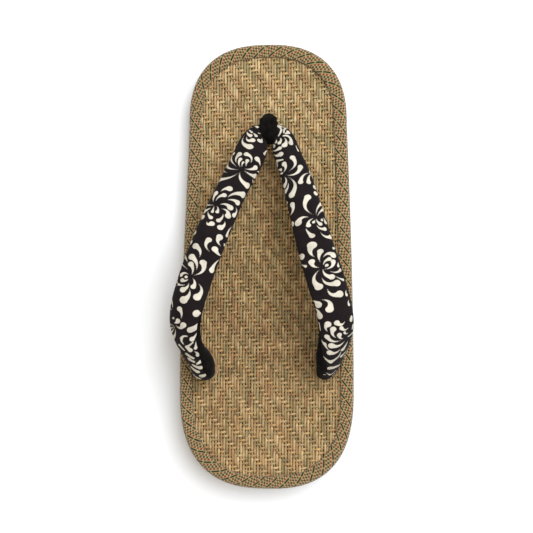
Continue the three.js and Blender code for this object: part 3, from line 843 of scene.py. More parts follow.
def foam_material(color):
    """Closed-cell foam: fine pits and a faint mottling, a little smoother where it was handled."""
    material, tree, shader = start_material("foam", 0.85)
    cloud = noise(tree, 45, 4)
    vector = add(tree, "ShaderNodeTexCoord").outputs["Object"]
    cells = add(tree, "ShaderNodeTexVoronoi", {"Vector": vector, "Scale": 1700.0})
    paint(tree, shader, mottled(tree, cloud, color, 0.78, 1.22))
    tree.links.new(grey(tree, cloud, 0.7, 0.95), shader.inputs["Roughness"])
    bump(tree, shader, cells.outputs["Distance"], 0.00012)
    return material


# ---- Woven mat ---------------------------------------------------------------------------------

MAT_INSET = 4.6
UNDERLAY_DEPTH = 2.15
WEAVE_SWING = 0.5
WEAVE_REPEAT = 5
TUBE_SIDES = 6
SAMPLES_PER_CROSSING = 2
# The lengthwise strands and the crosswise wefts, in millimetres. Sink is how far the highest points
# lie below the mat's face, spread the range of widths from one to the next, flare the share of the
# width that comes and goes over each crossing, and rough the unevenness of the width. Wander is how
# far they stray, over its waves, and tone_waves are the lengths over which their tone changes.
STRAND = {
    "width": 1.62,
    "thickness": 0.78,
    "sink": 0.08,
    "spread": (0.9, 1.1),
    "flare": 0.14,
    "rough": 0.05,
    "wander": 0.16,
    "wander_waves": (37, 61, 23),
    "wander_seed": 1000,
    "tone_waves": (29, 83, 51),
    "tone_seed": 3000,
}
WEFT = {
    "width": 1.75,
    "thickness": 0.86,
    "sink": 0.05,
    "spread": (0.8, 1.05),
    "flare": 0.15,
    "rough": 0.06,
    "wander": 0.14,
    "wander_waves": (31, 17),
    "wander_seed": 5000,
    "tone_waves": (13, 37),
    "tone_seed": 6000,
}
JITTER = 0.05
BETWEEN_CROSSINGS = 0.75
STRAND_TILT = 0.18
TILT_WAVES = (19, 43)
TILT_SEED = 2000
WEFT_SLANT = 0.24
FEWEST_POINTS = 8
# Strands are pushed aside within this many times a hole's half size.
PARTED = 1.22


def weft_on_top(strand, weft):
    """Five-end twill: each weft floats over two strands and dives under three."""
    return (weft - strand) % WEAVE_REPEAT < 2


def inside_mat(along, side, inset):
    """Whether points lie inside the outline at an inset."""
    toe_share = np.clip((TOE_END - along) / (TOE_END - inset), 0, 1)
    heel_share = np.clip((along - LENGTH + HEEL_END) / (HEEL_END - inset), 0, 1)
    room_toe = (1 - toe_share**TOE_ROUNDNESS) ** (1 / TOE_ROUNDNESS)
    room_heel = (1 - heel_share**HEEL_ROUNDNESS) ** (1 / HEEL_ROUNDNESS)
    room = (side_half_width(along) - inset) * room_toe * room_heel
    inside = (along > inset) & (along < LENGTH - inset)
    return inside & (np.abs(side) < room)


def part_round_holes(points):
    """Pushes strands aside where the strap's ends and the post go down between them."""
    moved = points.copy()
    for hole in HOLES:
        turn = math.radians(hole["turn"])
        centre = np.array([hole["side"], hole["along"] - LENGTH / 2])
        offset = moved[:, :2] - centre
        swing = np.array([[math.cos(turn), -math.sin(turn)], [math.sin(turn), math.cos(turn)]])
        local = offset @ swing / np.array(hole["half"])
        far = np.maximum(np.linalg.norm(local, axis=1), 1e-6)
        pushed = np.where(far < PARTED, 1 + far * (PARTED - 1) / PARTED, far)
        local *= (pushed / far)[:, None]
        moved[:, :2] = centre + (local * np.array(hole["half"])) @ swing.T
    return moved


def tube_rings(path, across, width, thickness):
    """Flattened six-sided rings along a path."""
    angles = (np.arange(TUBE_SIDES) + 0.5) / TUBE_SIDES * 2 * math.pi
    reach = np.cos(angles)[None, :, None] * (width / 2)[:, None, None] * across[:, None, :]
    rise = np.sin(angles)[None, :] * (thickness / 2)[:, None]
    rings = path[:, None, :] + reach
    rings[..., 2] += rise
    return rings


class TubeBundle:
    """Gathers many tubes into one mesh, with numbers for each point."""

    def __init__(self):
        self.points = []
        self.faces = []
        self.tones = []
        self.maps = []
        self.count = 0

    def add(self, rings, tone, lengthwise):
        rows, columns = rings.shape[:2]
        faces = grid_faces(rows, columns).tolist() + end_caps(rows, columns)
        self.faces += [[corner + self.count for corner in face] for face in faces]
        self.points.append(rings.reshape(-1, 3))
        self.tones.append(np.repeat(tone, columns))
        around = np.tile(np.arange(columns) / columns, rows)
        self.maps.append(np.stack([np.repeat(lengthwise, columns) / 10, around], axis=1))
        self.count += rows * columns

    def make(self, name):
        made = new_object(name, np.vstack(self.points), self.faces)
        face_out(made)
        set_number(made, "tone", np.concatenate(self.tones))
        set_map(made, np.vstack(self.maps))
        return made


def strand_places(settings):
    """Side of each strand and distance along of each weft, in millimetres."""
    pitch = settings.strand_pitch / MM
    weft_pitch = settings.weft_pitch / MM
    strands = int((HEEL_HALF_WIDTH - MAT_INSET) // pitch)
    sides = -np.arange(-strands, strands + 1) * pitch
    wefts = np.arange(MAT_INSET + 1, LENGTH - MAT_INSET, weft_pitch)
    return sides, wefts


def crossings(places, on_top):
    """Points at the crossings and halfway between: their counts, places, and 1 on top or -1 below."""
    counts = np.arange(len(places))
    crossing = np.arange(0, len(places) - 1 + 1e-9, 1 / SAMPLES_PER_CROSSING)
    swing = np.interp(crossing, counts, np.where(on_top, 1.0, -1.0))
    return crossing, np.interp(crossing, counts, places), swing


def stray(kind, position, number, dice):
    """How far a strand or weft strays from its line."""
    slow = kind["wander"] * ripple(position, kind["wander_waves"], kind["wander_seed"] + number)
    return slow + dice.normal(0, JITTER, len(position))


def lay(bundle, kind, number, dice, lengthwise, points, swing, across):
    """Adds one strand or weft to its bundle. Points are along, side and whether inside the mat."""
    along, side, keep = points
    height = sole_top(along) - kind["thickness"] / 2 - kind["sink"] - WEAVE_SWING * (1 - swing)
    height += dice.normal(0, JITTER, len(lengthwise))
    path = part_round_holes(place(along, side, height)[keep])
    flare = kind["flare"]
    width = kind["width"] * dice.uniform(*kind["spread"]) * (1 - flare + flare * swing)
    width = width * (1 + kind["rough"] * dice.normal(0, 1, len(lengthwise)))
    thickness = kind["thickness"] * (0.9 + 0.1 * swing)
    drift = ripple(lengthwise, kind["tone_waves"], kind["tone_seed"] + number)
    tone = np.clip(dice.uniform(0.1, 0.9) + 0.3 * drift, 0, 1)
    rings = tube_rings(path, across[keep], width[keep], thickness[keep])
    bundle.add(rings, tone[keep], lengthwise[keep])


def build_strands(settings):
    """The lengthwise strands, each over three wefts and under two."""
    dice = np.random.default_rng(settings.seed)
    sides, wefts = strand_places(settings)
    bundle = TubeBundle()
    for strand, side in enumerate(sides):
        on_top = ~weft_on_top(strand, np.arange(len(wefts)))
        crossing, along, swing = crossings(wefts, on_top)
        swing = np.where(crossing % 1 == 0, swing, swing * BETWEEN_CROSSINGS)
        wander = stray(STRAND, along, strand, dice)
        keep = inside_mat(along, side, MAT_INSET)
        if keep.sum() < FEWEST_POINTS:
            continue
        across = np.tile([1.0, 0.0, 0.0], (len(along), 1))
        across[keep, 2] = STRAND_TILT * ripple(along[keep], TILT_WAVES, TILT_SEED + strand)
        lay(bundle, STRAND, strand, dice, along, (along, side + wander, keep), swing, across)
    return bundle.make("mat_strands")


def build_wefts(settings):
    """The crosswise wefts, each floating over two strands."""
    dice = np.random.default_rng(settings.seed + 1)
    sides, wefts = strand_places(settings)
    bundle = TubeBundle()
    for weft, along_line in enumerate(wefts):
        crossing, side, swing = crossings(sides, weft_on_top(np.arange(len(sides)), weft))
        slant = -WEFT_SLANT * np.sin(2 * math.pi * (crossing + 0.5 - weft) / WEAVE_REPEAT)
        along = along_line + slant + stray(WEFT, side, weft, dice)
        keep = inside_mat(along, side, MAT_INSET)
        if keep.sum() < FEWEST_POINTS:
            continue
        across = np.tile([0.0, 1.0, 0.0], (len(side), 1))
        lay(bundle, WEFT, weft, dice, side, (along, side, keep), swing, across)
    return bundle.make("mat_wefts")


def build_mat_base():
    """The underlay that shows between the strands, with the mat's rounded edge. Its dark brown is
    painted shade for the gaps.
    """
    runs, _ = even_runs(240)
    inset = TAPE + 2 * FIT_GAP
    under = 0.1 - MAT_THICKNESS
    edge = [(inset + 12, under), (inset + 0.4, under), (inset, under + 0.5), (inset, -0.6)]
    edge += [(inset + 0.5, -0.1), (MAT_INSET - 0.6, -0.1)]
    edge += [(MAT_INSET + 0.2, -UNDERLAY_DEPTH), (inset + 12, -UNDERLAY_DEPTH)]
    return grid_object("mat_base", cross_rings(runs, [(at, sole_top, above) for at, above in edge]))


# Share of the way from toe to heel, and the painted shade on the rush there: darker through the middle,
# where the straps shade the mat.
STRAP_SHADE_TONES = (
    (0.1, (1, 1, 1)),
    (0.3, (0.95, 0.93, 0.9)),
    (0.5, (0.88, 0.85, 0.8)),
    (0.7, (0.89, 0.86, 0.83)),
    (0.92, (0.97, 0.95, 0.94)),
)


def painted_strap_shade(tree):
    """Painted shade: the rush is darker from the ball to the heel, most in the middle under the straps.
    """
    half = LENGTH * MM / 2
    along = grey(tree, coordinates(tree, "Object")[1], 0, 1, -half, half)
    return ramp(tree, along, STRAP_SHADE_TONES)


def rush_material(name, stops, fibre_stretch):
    """Split rush: tones that change from strand to strand, fine fibres and a dry shine."""
    material, tree, shader = start_material(name, 0.52, specular=0.4)
    color = ramp(tree, read_number(tree, "tone"), stops)
    fibres = noise(tree, 900, 3, 0.6, fibre_stretch)
    color = mix(tree, 0.55, color, grey_step(tree, fibres, 0.28, 0.72, 0.35, 1), "MULTIPLY")
    blotches = ramp(tree, noise(tree, 140, 2), [(0.3, (0.62, 0.6, 0.5)), (0.65, (1,) * 3)])
    color = mix(tree, 0.5, color, blotches, "MULTIPLY")
    # Painted shade: darker through the middle of the foot, under the straps.
    color = mix(tree, 1, color, painted_strap_shade(tree), "MULTIPLY")
    paint(tree, shader, color)
    tree.links.new(grey(tree, fibres, 0.42, 0.68), shader.inputs["Roughness"])
    bump(tree, shader, fibres, 0.00009)
    return material


def strand_material(settings):
    straw, tan = tuple(settings.straw), tuple(settings.tan)
    olive, russet = tuple(settings.olive), tuple(settings.russet)
    stops = [(0, olive), (0.22, straw), (0.4, tan), (0.55, olive)]
    stops += [(0.7, straw), (0.85, russet), (1, tan)]
    return rush_material("rush_strands", stops, (1, 0.12, 1))


def weft_material(settings):
    straw, gold = tuple(settings.straw), tuple(settings.gold)
    olive, russet = tuple(settings.olive), tuple(settings.russet)
    stops = [(0, gold), (0.25, straw), (0.45, olive), (0.6, gold), (0.8, russet), (1, gold)]
    return rush_material("rush_wefts", stops, (0.12, 1, 1))


def underlay_shade_material():
    material, tree, shader = start_material("rush_underlay_gap_shade", 0.9)
    cloud = noise(tree, 400, 3)
    # Painted shade: a dark brown far below the rush's tones, so that the gaps between the strands read
    # as shaded.
    paint(tree, shader, ramp(tree, cloud, [(0.3, (0.15, 0.1, 0.06)), (0.7, (0.34, 0.24, 0.14))]))
    bump(tree, shader, cloud, 0.0002)
    return material


# ---- Binding tape ------------------------------------------------------------------------------

TAPE_STATIONS = 820
PLEAT_LENGTH = 6.5
PLEAT_HEIGHT = 0.42
# The share of each pleat over which it rises. It drops over the rest.
PLEAT_RISE = 0.82
# How far the stripes lean from straight across the tape: their slope.
BIAS = 0.76
# From dot to dot and from gap to gap in the dark line, in centimetres along the tape.
DOT_SPACING = 0.27
DASH_SPACING = 0.68
# The middle row of dots in one repeat, and half its share. Its dots lie between its neighbours' dots.
MIDDLE_ROW = (0.515, 0.115)
# The yarns of the tape's weave, in centimetres.
YARN = 0.055
CROSS_YARN = 0.05


def tape_section():
    """The tape's closed section as (inset, rise above the mat, distance across the tape)."""
    over = FIT_GAP + TAPE
    under = -MAT_THICKNESS - FIT_GAP - TAPE
    outer = [(TAPE_LIP - 0.35, FIT_GAP), (TAPE_LIP, FIT_GAP + 0.35), (TAPE_LIP - 0.05, over - 0.35)]
    outer += [(TAPE_LIP - 0.5, over - 0.05), (TAPE_LIP - 1.2, over), (5.2, over + 0.05)]
    outer += [(4.0, over + 0.08), (3.0, over), (2.1, over - 0.12), (1.4, over - 0.4)]
    outer += [(0.8, over - 0.85), (0.35, over - 1.5), (0.1, over - 2.3), (0, over - 3.2)]
    outer += [(0, under + 2.6), (0.25, under + 1.5), (0.8, under + 0.65), (1.7, under + 0.12)]
    outer += [(2.8, under), (TAPE_LIP, under), (TAPE_LIP, under + TAPE)]
    inner = [(2.6, under + TAPE), (TAPE + FIT_GAP, under + TAPE + 0.8)]
    inner += [(TAPE + FIT_GAP, FIT_GAP - 0.8), (2.6, FIT_GAP)]
    section = np.array(outer + inner)
    steps = np.hypot(*np.diff(section, axis=0).T)
    return section, np.concatenate([[0], np.cumsum(steps)])


def corner_share(run):
    """1 where the outline turns most, at the toe's and heel's corners, and 0 along the sides."""
    toe = np.exp(-(((run - 0.5) / 0.33) ** 2))
    heel = np.exp(-(((run - 2.5) / 0.33) ** 2))
    return np.clip(toe + heel, 0, 1)


def pleat(walked):
    """Sharp-backed folds along the tape, 0 to 1."""
    drift = 1.1 * ripple(walked, (43, 71), 41)
    phase = ((walked + drift) / PLEAT_LENGTH) % 1
    rise, drop = phase / PLEAT_RISE, (1 - phase) / (1 - PLEAT_RISE)
    return np.where(phase < PLEAT_RISE, rise**1.6, drop)


def build_binding():
    """The cloth tape folded round the mat's edge, pleated where it turns the corners."""
    half, edge = even_runs(TAPE_STATIONS // 2 + 1)
    runs = np.concatenate([half, half[-2:0:-1]])
    walked = np.arange(len(runs)) / len(runs) * 2 * edge
    hand = np.where(np.arange(len(runs)) < len(half), -1, 1)
    section, across = tape_section()
    corner = corner_share(runs)
    fold = pleat(walked) * corner
    uneven = ripple(walked, (27, 41, 11), 42)
    columns = []
    for inset, rise in section:
        lip = np.clip(inset / TAPE_LIP, 0, 1) if rise > -1 else 0
        depth = inset + lip * (0.22 * uneven + 0.35 * fold)
        along, side = half_outline(runs, 0)
        in_along, in_side = half_outline(runs, 1)
        slope = np.stack([in_along - along, in_side - side], axis=1)
        along, side = half_outline(runs, min(inset, TAPE_LIP))
        extra = depth - inset
        along = along + slope[:, 0] * extra
        side = side + slope[:, 1] * extra
        lift = lip * (PLEAT_HEIGHT * fold + 0.06 * uneven)
        columns.append(place(along, hand * side, sole_top(along) + rise + lift))
    points = np.stack(columns, axis=1)
    made = grid_object("binding_tape", points, close_rows=True)
    map_tape(made, len(runs), len(section), 2 * edge, across)
    return made


def map_tape(made, rows, columns, edge, across):
    """UV map of the tape in centimetres, with its ends meeting where the ring closes."""
    count = len(made.data.polygons) * 4
    loops = np.empty(count, int)
    made.data.loops.foreach_get("vertex_index", loops)
    row = (loops // columns).reshape(-1, 4)
    column = (loops % columns).reshape(-1, 4)
    wraps = (row.max(axis=1) == rows - 1) & (row.min(axis=1) == 0)
    row = np.where(wraps[:, None] & (row == 0), rows, row)
    lengthwise = row * edge / rows / 10
    layer = made.data.uv_layers.new(name="UVMap")
    pairs = np.stack([lengthwise, across[column] / 10], axis=-1)
    layer.data.foreach_set("uv", pairs.astype(np.float32).ravel())


def tape_material(settings):
    """Yarn-dyed cotton on the bias: a broken dark line, and rows of red, moss and brown dots."""
    material, tree, shader = start_material("striped_tape", 0.88, sheen=0.25)
    lengthwise, across = coordinates(tree, "UV")[:2]
    wobble = grey(tree, noise(tree, 120, 2), -0.03, 0.03)
    repeat = settings.stripe_repeat / MM / 10 * math.hypot(1, BIAS)
    biased = math_node(tree, "MULTIPLY", lengthwise, BIAS)
    diagonal = math_node(tree, "SUBTRACT", biased, across)
    diagonal = math_node(tree, "ADD", diagonal, wobble)
    phase = math_node(tree, "FRACT", math_node(tree, "DIVIDE", diagonal, repeat))
    counter = math_node(tree, "ADD", lengthwise, math_node(tree, "MULTIPLY", across, BIAS))
    ground, edge, green = tuple(settings.ground), tuple(settings.edge), tuple(settings.green)
    red, moss, brown = tuple(settings.red), tuple(settings.moss), tuple(settings.brown)
    line = [(0, green), (0.085, green), (0.12, edge), (0.16, ground), (0.87, ground), (0.9, edge)]
    rows = [(0.18, ground), (0.21, red), (0.36, red), (0.39, ground), (0.41, ground), (0.44, moss)]
    rows += [(0.59, moss), (0.62, ground), (0.64, ground), (0.67, brown), (0.82, brown), (0.85, ground)]
    in_middle_row = math_node(tree, "COMPARE", phase, *MIDDLE_ROW)
    stagger = math_node(tree, "MULTIPLY", in_middle_row, math.pi)
    dot = math_node(tree, "MULTIPLY_ADD", wave(tree, counter, DOT_SPACING, stagger), 0.5, 0.5)
    pale = tuple(settings.speckle)
    between = ramp(tree, phase, [(at, ground if color == ground else pale) for at, color in rows])
    dotted = mix(tree, grey_step(tree, dot, 0.2, 0.45, 0, 1), between, ramp(tree, phase, rows))
    lines = ramp(tree, phase, line + [(0.935, green)])
    dash = grey(tree, wave(tree, counter, DASH_SPACING), 0, 1)
    lines = mix(tree, grey_step(tree, dash, 0.86, 0.94, 0, 0.85), lines, edge)
    in_rows = [(0.16, (0,) * 3), (0.2, (1,) * 3), (0.84, (1,) * 3), (0.87, (0,) * 3)]
    color = mix(tree, ramp(tree, phase, in_rows), lines, dotted)
    # Painted highlight: within about a millimetre of the tape's edge next to the mat, the colour turns
    # to the lip colour.
    color = mix(tree, grey_step(tree, across, 0.035, 0.1, 1, 0), color, tuple(settings.lip))
    yarns = math_node(tree, "ADD", wave(tree, counter, YARN), wave(tree, diagonal, CROSS_YARN))
    shade = grey(tree, math_node(tree, "MULTIPLY", yarns, 0.25), 0.84, 1.1)
    color = mix(tree, 0.6, color, shade, "MULTIPLY")
    color = mix(tree, 0.35, color, grey_step(tree, noise(tree, 700, 3), 0.3, 0.7, 0.6, 1), "MULTIPLY")
    paint(tree, shader, color)
    bump(tree, shader, yarns, 0.00005)
    return material


# ---- Strap -------------------------------------------------------------------------------------

STRAP_STEPS = 32
FACE_COLUMNS = 66
LINING_COLUMNS = 30
BACK_COLUMNS = 4
PRINT_HALF = 10.5
# Where the printed cloth meets the lining on the side toward the middle: distance from the join and
# degrees round from the middle of the print. On the outer side they meet at 90 degrees.
SEAM_ANGLE = 90
SEAM_LEFT = ((0, 90), (106, 90), (118, 79), (125, 71), (134, 71), (140, 75), (146, 80), (150, 82),
             (156, 92), (161, 104), (200, 108))
SEAM_RIGHT = ((0, 90), (121, 86), (130, 84), (135, 78), (140, 72), (145, 63), (149, 65), (154, 82),
              (160, 100), (200, 104))
SEAM_GAP = 0.026
# Where the padding stands out or, with a negative height, draws in: distance from the join, half
# length, degrees round toward the inner side, and height.
SWELLINGS = (
    (22, 16, 80, 2.3),
    (-15, 12, 80, 1.1),
    (-14, 13, -80, -2.1),
    (152, 10, 112, 3.7),
    (159, 8, 100, 2.2),
    (-145, 12, 118, 2.3),
    (88, 40, 85, 0.8),
    (-96, 38, 88, 2.2),
)
# Creases on the inner side of each bend: distance from the join, half length and slant.
CREASES = ((146, 1.6, 2.2), (153, 1.4, -1.6), (160, 1.7, 1.2))
CREASE_DEPTH = 0.22
# Heights of the gathers at the loop and at the rear holes, and of the soft unevenness between.
LOOP_GATHERS = 0.28
HOLE_GATHERS = 0.22
SOFTNESS = 0.16
# How much the loop draws the strap in, as a share of its size, and over what distance.
LOOP_PINCH = 0.13
PINCH_REACH = 5.6
FACE_SPACING = 0.36
LINING_SPACING = 0.7
PETAL_STEPS = 16
PETAL_FULLNESS = 0.92
PETAL_TAPER = 0.6
PETAL_TIP = 0.12
# Two threads of the printed cloth, side by side, in centimetres.
THREAD_PAIR = 0.042
# A distance from any petal that counts as plain ground.
PLAIN = 2.0


def join_lean(along):
    return JOIN_LEAN * np.clip((LEAN_END - along) / (LEAN_END - JOIN_ALONG), 0, 1)


def strap_frames():
    """Centres, directions and sizes down the whole strap, and the distance from the join."""
    rows = [(-1, *row) for row in STRAP_ROWS[:0:-1]] + [(1, *row) for row in STRAP_ROWS]
    path = [
        (hand * side + join_lean(along), along - LENGTH / 2, sole_top(along) + up)
        for hand, along, side, up, width, thick, tilt in rows
    ]
    sizes = [(width, thick, hand * tilt) for hand, along, side, up, width, thick, tilt in rows]
    centres = spline(path, STRAP_STEPS)
    sizes = spline(sizes, STRAP_STEPS)
    tangents = unit(np.gradient(centres, axis=0))
    tilt = np.radians(sizes[:, 2])
    back = math.radians(FACE_BACK)
    face = np.stack(
        [np.sin(tilt) * math.cos(back), np.abs(np.sin(tilt)) * math.sin(back), np.cos(tilt)], axis=1
    )
    across = unit(np.cross(tangents, face))
    up = unit(np.cross(across, tangents))
    walked = np.concatenate([[0], np.cumsum(np.linalg.norm(np.diff(centres, axis=0), axis=1))])
    walked -= walked[(len(walked) - 1) // 2]
    return centres, across, up, sizes, walked


def even_frames(spacing):
    """The strap's frames at even distances along it."""
    centres, across, up, sizes, walked = strap_frames()
    count = int((walked[-1] - walked[0]) / spacing)
    wanted = np.linspace(walked[0], walked[-1], count)

    def pick(values):
        return np.stack([np.interp(wanted, walked, column) for column in values.T], axis=1)

    return pick(centres), unit(pick(across)), unit(pick(up)), pick(sizes), wanted


def swelling(walked, angle):
    """How far the padding stands out or draws in at its swellings."""
    total = 0
    for middle, half_length, centre, amount in SWELLINGS:
        near = np.exp(-(((walked[:, None] - middle) / half_length) ** 2))
        total = total + amount * near * np.clip(np.cos(angle + math.radians(centre)), 0, 1)
    return total


def padding_form(walked, angle):
    """Unevenness of the padding: gathers that run out of the loop and into the rear holes, and
    shallow creases where the strap bends."""
    position = walked[:, None]
    from_join = np.abs(position)
    from_hole = walked.max() - from_join
    gather = np.exp(-(((from_join - 5) / 7) ** 2)) * np.cos(7 * angle + 0.08 * position)
    bottom = np.exp(-(((from_hole - 12) / 9) ** 2)) * np.cos(6 * angle + 0.6)
    soft = ripple(position, (33, 57, 21), 61) * np.cos(angle - 0.4)
    creases = 0
    for crease, half_length, skew in CREASES:
        for hand in (-1, 1):
            line = hand * crease + skew * np.sin(angle + 0.5 * hand)
            creases = creases + np.exp(-(((position - line) / half_length) ** 2))
    inner = smoothstep(-np.sin(angle), -0.2, 0.9)
    form = LOOP_GATHERS * gather + HOLE_GATHERS * bottom + SOFTNESS * soft
    return form - CREASE_DEPTH * creases * inner + swelling(walked, angle)


def inner_seam(walked):
    """Angle of the inner seam at each distance from the join, in radians."""
    left = np.interp(walked, *np.transpose(SEAM_LEFT))
    right = np.interp(-walked, *np.transpose(SEAM_RIGHT))
    return np.radians(np.where(walked > 0, left, right))


def strap_rings(spacing, columns, lining):
    """Points on the strap's skin over the print or over the lining, the distance of each ring from
    the join and the angle of each point from the middle of the print."""
    centres, across, up, sizes, walked = even_frames(spacing)
    share = np.linspace(0, 1, columns)[None, :]
    inner = inner_seam(walked)[:, None]
    outer = math.radians(SEAM_ANGLE)
    if lining:
        start, end = outer + SEAM_GAP, 2 * math.pi - inner - SEAM_GAP
    else:
        start, end = -inner, outer
    angles = start + (end - start) * share
    pinch = 1 - LOOP_PINCH * np.exp(-((walked / PINCH_REACH) ** 4))
    half_width = sizes[:, :1] / 2 * pinch[:, None]
    thick = sizes[:, 1:2] * pinch[:, None]
    crown = np.where(np.cos(angles) > 0, CROWN, 1 - CROWN)
    puff = padding_form(walked, angles)
    reach = np.sin(angles) * (half_width + puff)
    rise = np.cos(angles) * (thick * crown + puff)
    points = centres[:, None] + across[:, None] * reach[..., None] + up[:, None] * rise[..., None]
    return points, walked, angles


def petal_distance(places, petal):
    """Distance in millimetres from each flat place to one petal's edge, negative inside."""
    u, v, bulb, tip_u, tip_v, bow = petal[:6]
    end = petal[6] if len(petal) > 6 else PETAL_TIP
    start = np.array([u, v])
    tip = np.array([tip_u, tip_v])
    run = tip - start
    left = np.array([-run[1], run[0]]) / max(np.hypot(*run), 1e-6)
    bend = (start + tip) / 2 + 2 * bow * left
    nearest = np.full(len(places), np.inf)
    for share in np.linspace(0, 1, PETAL_STEPS):
        point = (1 - share) ** 2 * start + 2 * share * (1 - share) * bend + share**2 * tip
        radius = PETAL_FULLNESS * bulb + (end - PETAL_FULLNESS * bulb) * share**PETAL_TAPER
        gap = np.hypot(places[:, 0] - point[0], places[:, 1] - point[1]) - radius
        nearest = np.minimum(nearest, gap)
    return nearest


def print_distance(walked, angles):
    """Distance to the nearest petal for every point of the face."""
    across = angles / (math.pi / 2) * PRINT_HALF
    field = np.full(angles.shape, PLAIN)
    for hand, petals in ((1, PRINT_LEFT), (-1, PRINT_RIGHT)):
        for petal in petals:
            reach = max(petal[2], 1) + 2 * abs(petal[5]) + 1
            low, high = sorted((petal[0], petal[3]))
            rows = (hand * walked > low - reach) & (hand * walked < high + reach)
            v = across[rows]
            u = np.broadcast_to(hand * walked[rows, None], v.shape)
            places = np.stack([u.ravel(), v.ravel()], axis=1)
            found = petal_distance(places, petal).reshape(v.shape)
            field[rows] = np.minimum(field[rows], found)
    return field


def closed_half(points, rear):
    """A half of the padding as closed rings: its skin, then a flat back just inside it."""
    first, last = points[:, :1], points[:, -1:]
    shares = np.linspace(0.06, 0.94, rear)[None, :, None]
    back = last + (first - last) * shares
    return np.concatenate([points, back], axis=1)


def build_strap_face():
    """The printed cloth over the padding, from one seam to the other."""
    skin, walked, angles = strap_rings(FACE_SPACING, FACE_COLUMNS, False)
    made = grid_object("strap_face", closed_half(skin, BACK_COLUMNS))
    back = np.full((len(walked), BACK_COLUMNS), PLAIN)
    set_number(made, "petal_edge", np.concatenate([print_distance(walked, angles), back], axis=1))
    across = np.concatenate([angles / (math.pi / 2) * PRINT_HALF, 0 * back], axis=1)
    along = np.broadcast_to(walked[:, None], across.shape)
    set_map(made, np.stack([along.ravel(), across.ravel()], axis=1) / 10)
    return made


def build_strap_lining():
    """The velour on the side toward the foot."""
    skin, _, _ = strap_rings(LINING_SPACING, LINING_COLUMNS, True)
    return grid_object("strap_lining", closed_half(skin, BACK_COLUMNS))


def printed_cloth_material(settings):
    """Fine cotton with printed petals, a plain weave and a little fuzz at the print's edge."""
    material, tree, shader = start_material("printed_cloth", 0.86, specular=0.07, sheen=0.02)
    fray = grey(tree, noise(tree, 2400, 2), -0.12, 0.12)
    edge = math_node(tree, "ADD", read_number(tree, "petal_edge"), fray)
    inside = grey(tree, edge, 0, 1, 0.1, -0.12)
    threads = [wave(tree, output, THREAD_PAIR) for output in coordinates(tree, "UV")[:2]]
    weave = math_node(tree, "MULTIPLY", *threads)
    cloud = noise(tree, 160, 3)
    ground = mottled(tree, cloud, settings.cloth, 0.72)
    ink = mottled(tree, cloud, settings.petals, 0.86, high=0.62)
    color = mix(tree, inside, ground, ink)
    color = mix(tree, 0.4, color, grey(tree, weave, 0.8, 1.08), "MULTIPLY")
    paint(tree, shader, color)
    bump(tree, shader, weave, 0.00004)
    return material


def velour_material(color):
    """Short dark pile: matt, with a soft bright edge where the pile is seen from the side."""
    look = {"specular": 0.02, "sheen": 0.03, "sheen_roughness": 0.35}
    material, tree, shader = start_material("velour", 1.0, **look)
    pile = noise(tree, 3200, 2, 0.7)
    tint = mottled(tree, noise(tree, 260, 3), color, 0.6, 1.25)
    tint = mix(tree, 0.5, tint, grey_step(tree, pile, 0.3, 0.7, 0.4, 1), "MULTIPLY")
    paint(tree, shader, tint)
    bump(tree, shader, pile, 0.00022)
    return material


# ---- Toe loop ----------------------------------------------------------------------------------

LOOP_STEPS = 72
LOOP_SIDES = 28
# 2 makes a round section, and more makes it squarer.
LOOP_SQUARENESS = 2.3
# How much fuller the loop's outside is in its middle, as a share of half its wall.
LOOP_BULGE = 0.5
POST_STEPS = 10
LOOP_MESH = 0.42


def build_loop_ring():
    """The soft ring round the join."""
    turn = np.arange(LOOP_STEPS) / LOOP_STEPS * 2 * math.pi
    around = np.arange(LOOP_SIDES) / LOOP_SIDES * 2 * math.pi
    out_along, out_up = -np.cos(turn), np.sin(turn)
    low = np.clip(-out_up, 0, 1)
    width = (LOOP_TOP_WIDTH + (LOOP_FRONT_WIDTH - LOOP_TOP_WIDTH) * low) / 2
    wall = LOOP["wall"] / 2
    power = 2 / LOOP_SQUARENESS
    side = np.sign(np.cos(around)) * np.abs(np.cos(around)) ** power
    off = np.sign(np.sin(around)) * np.abs(np.sin(around)) ** power * wall
    off = off + LOOP_BULGE * wall * np.cos(side * math.pi / 2) * (off > 0)
    side = width[:, None] * side[None, :]
    front = np.clip(-out_along, 0, 1) ** 2
    pile = LOOP_PILE_FRONT * front + LOOP_PILE_LOW * low**2
    inward = np.clip(-off / wall, 0, 1)
    off = off[None, :] - pile[:, None] * inward[None, :]
    along = out_along[:, None] * (LOOP["half_length"] + wall + off)
    up = out_up[:, None] * (LOOP["half_height"] + wall + off)
    twist = math.radians(LOOP_TURN)
    x = side * math.cos(twist) - along * math.sin(twist)
    y = side * math.sin(twist) + along * math.cos(twist)
    centre_height = sole_top(JOIN_ALONG) + LOOP["up"]
    points = place(JOIN_ALONG + y, LOOP["side"] + x, centre_height + up)
    return grid_object("loop_ring", points, close_rows=True)


def build_post():
    """The post that goes from the loop down into the mat."""
    rows = [
        (side, along - LENGTH / 2, sole_top(along) + up, width, thick)
        for along, side, up, width, thick in POST_ROWS
    ]
    swept = spline(rows, POST_STEPS)
    around = (np.arange(LOOP_SIDES) + 0.5) / LOOP_SIDES * 2 * math.pi
    points = np.repeat(swept[:, None, :3], len(around), axis=1)
    points[..., 0] += np.cos(around) * swept[:, 3:4] / 2
    points[..., 1] += np.sin(around) * swept[:, 4:5] / 2
    return grid_object("loop_post", points)


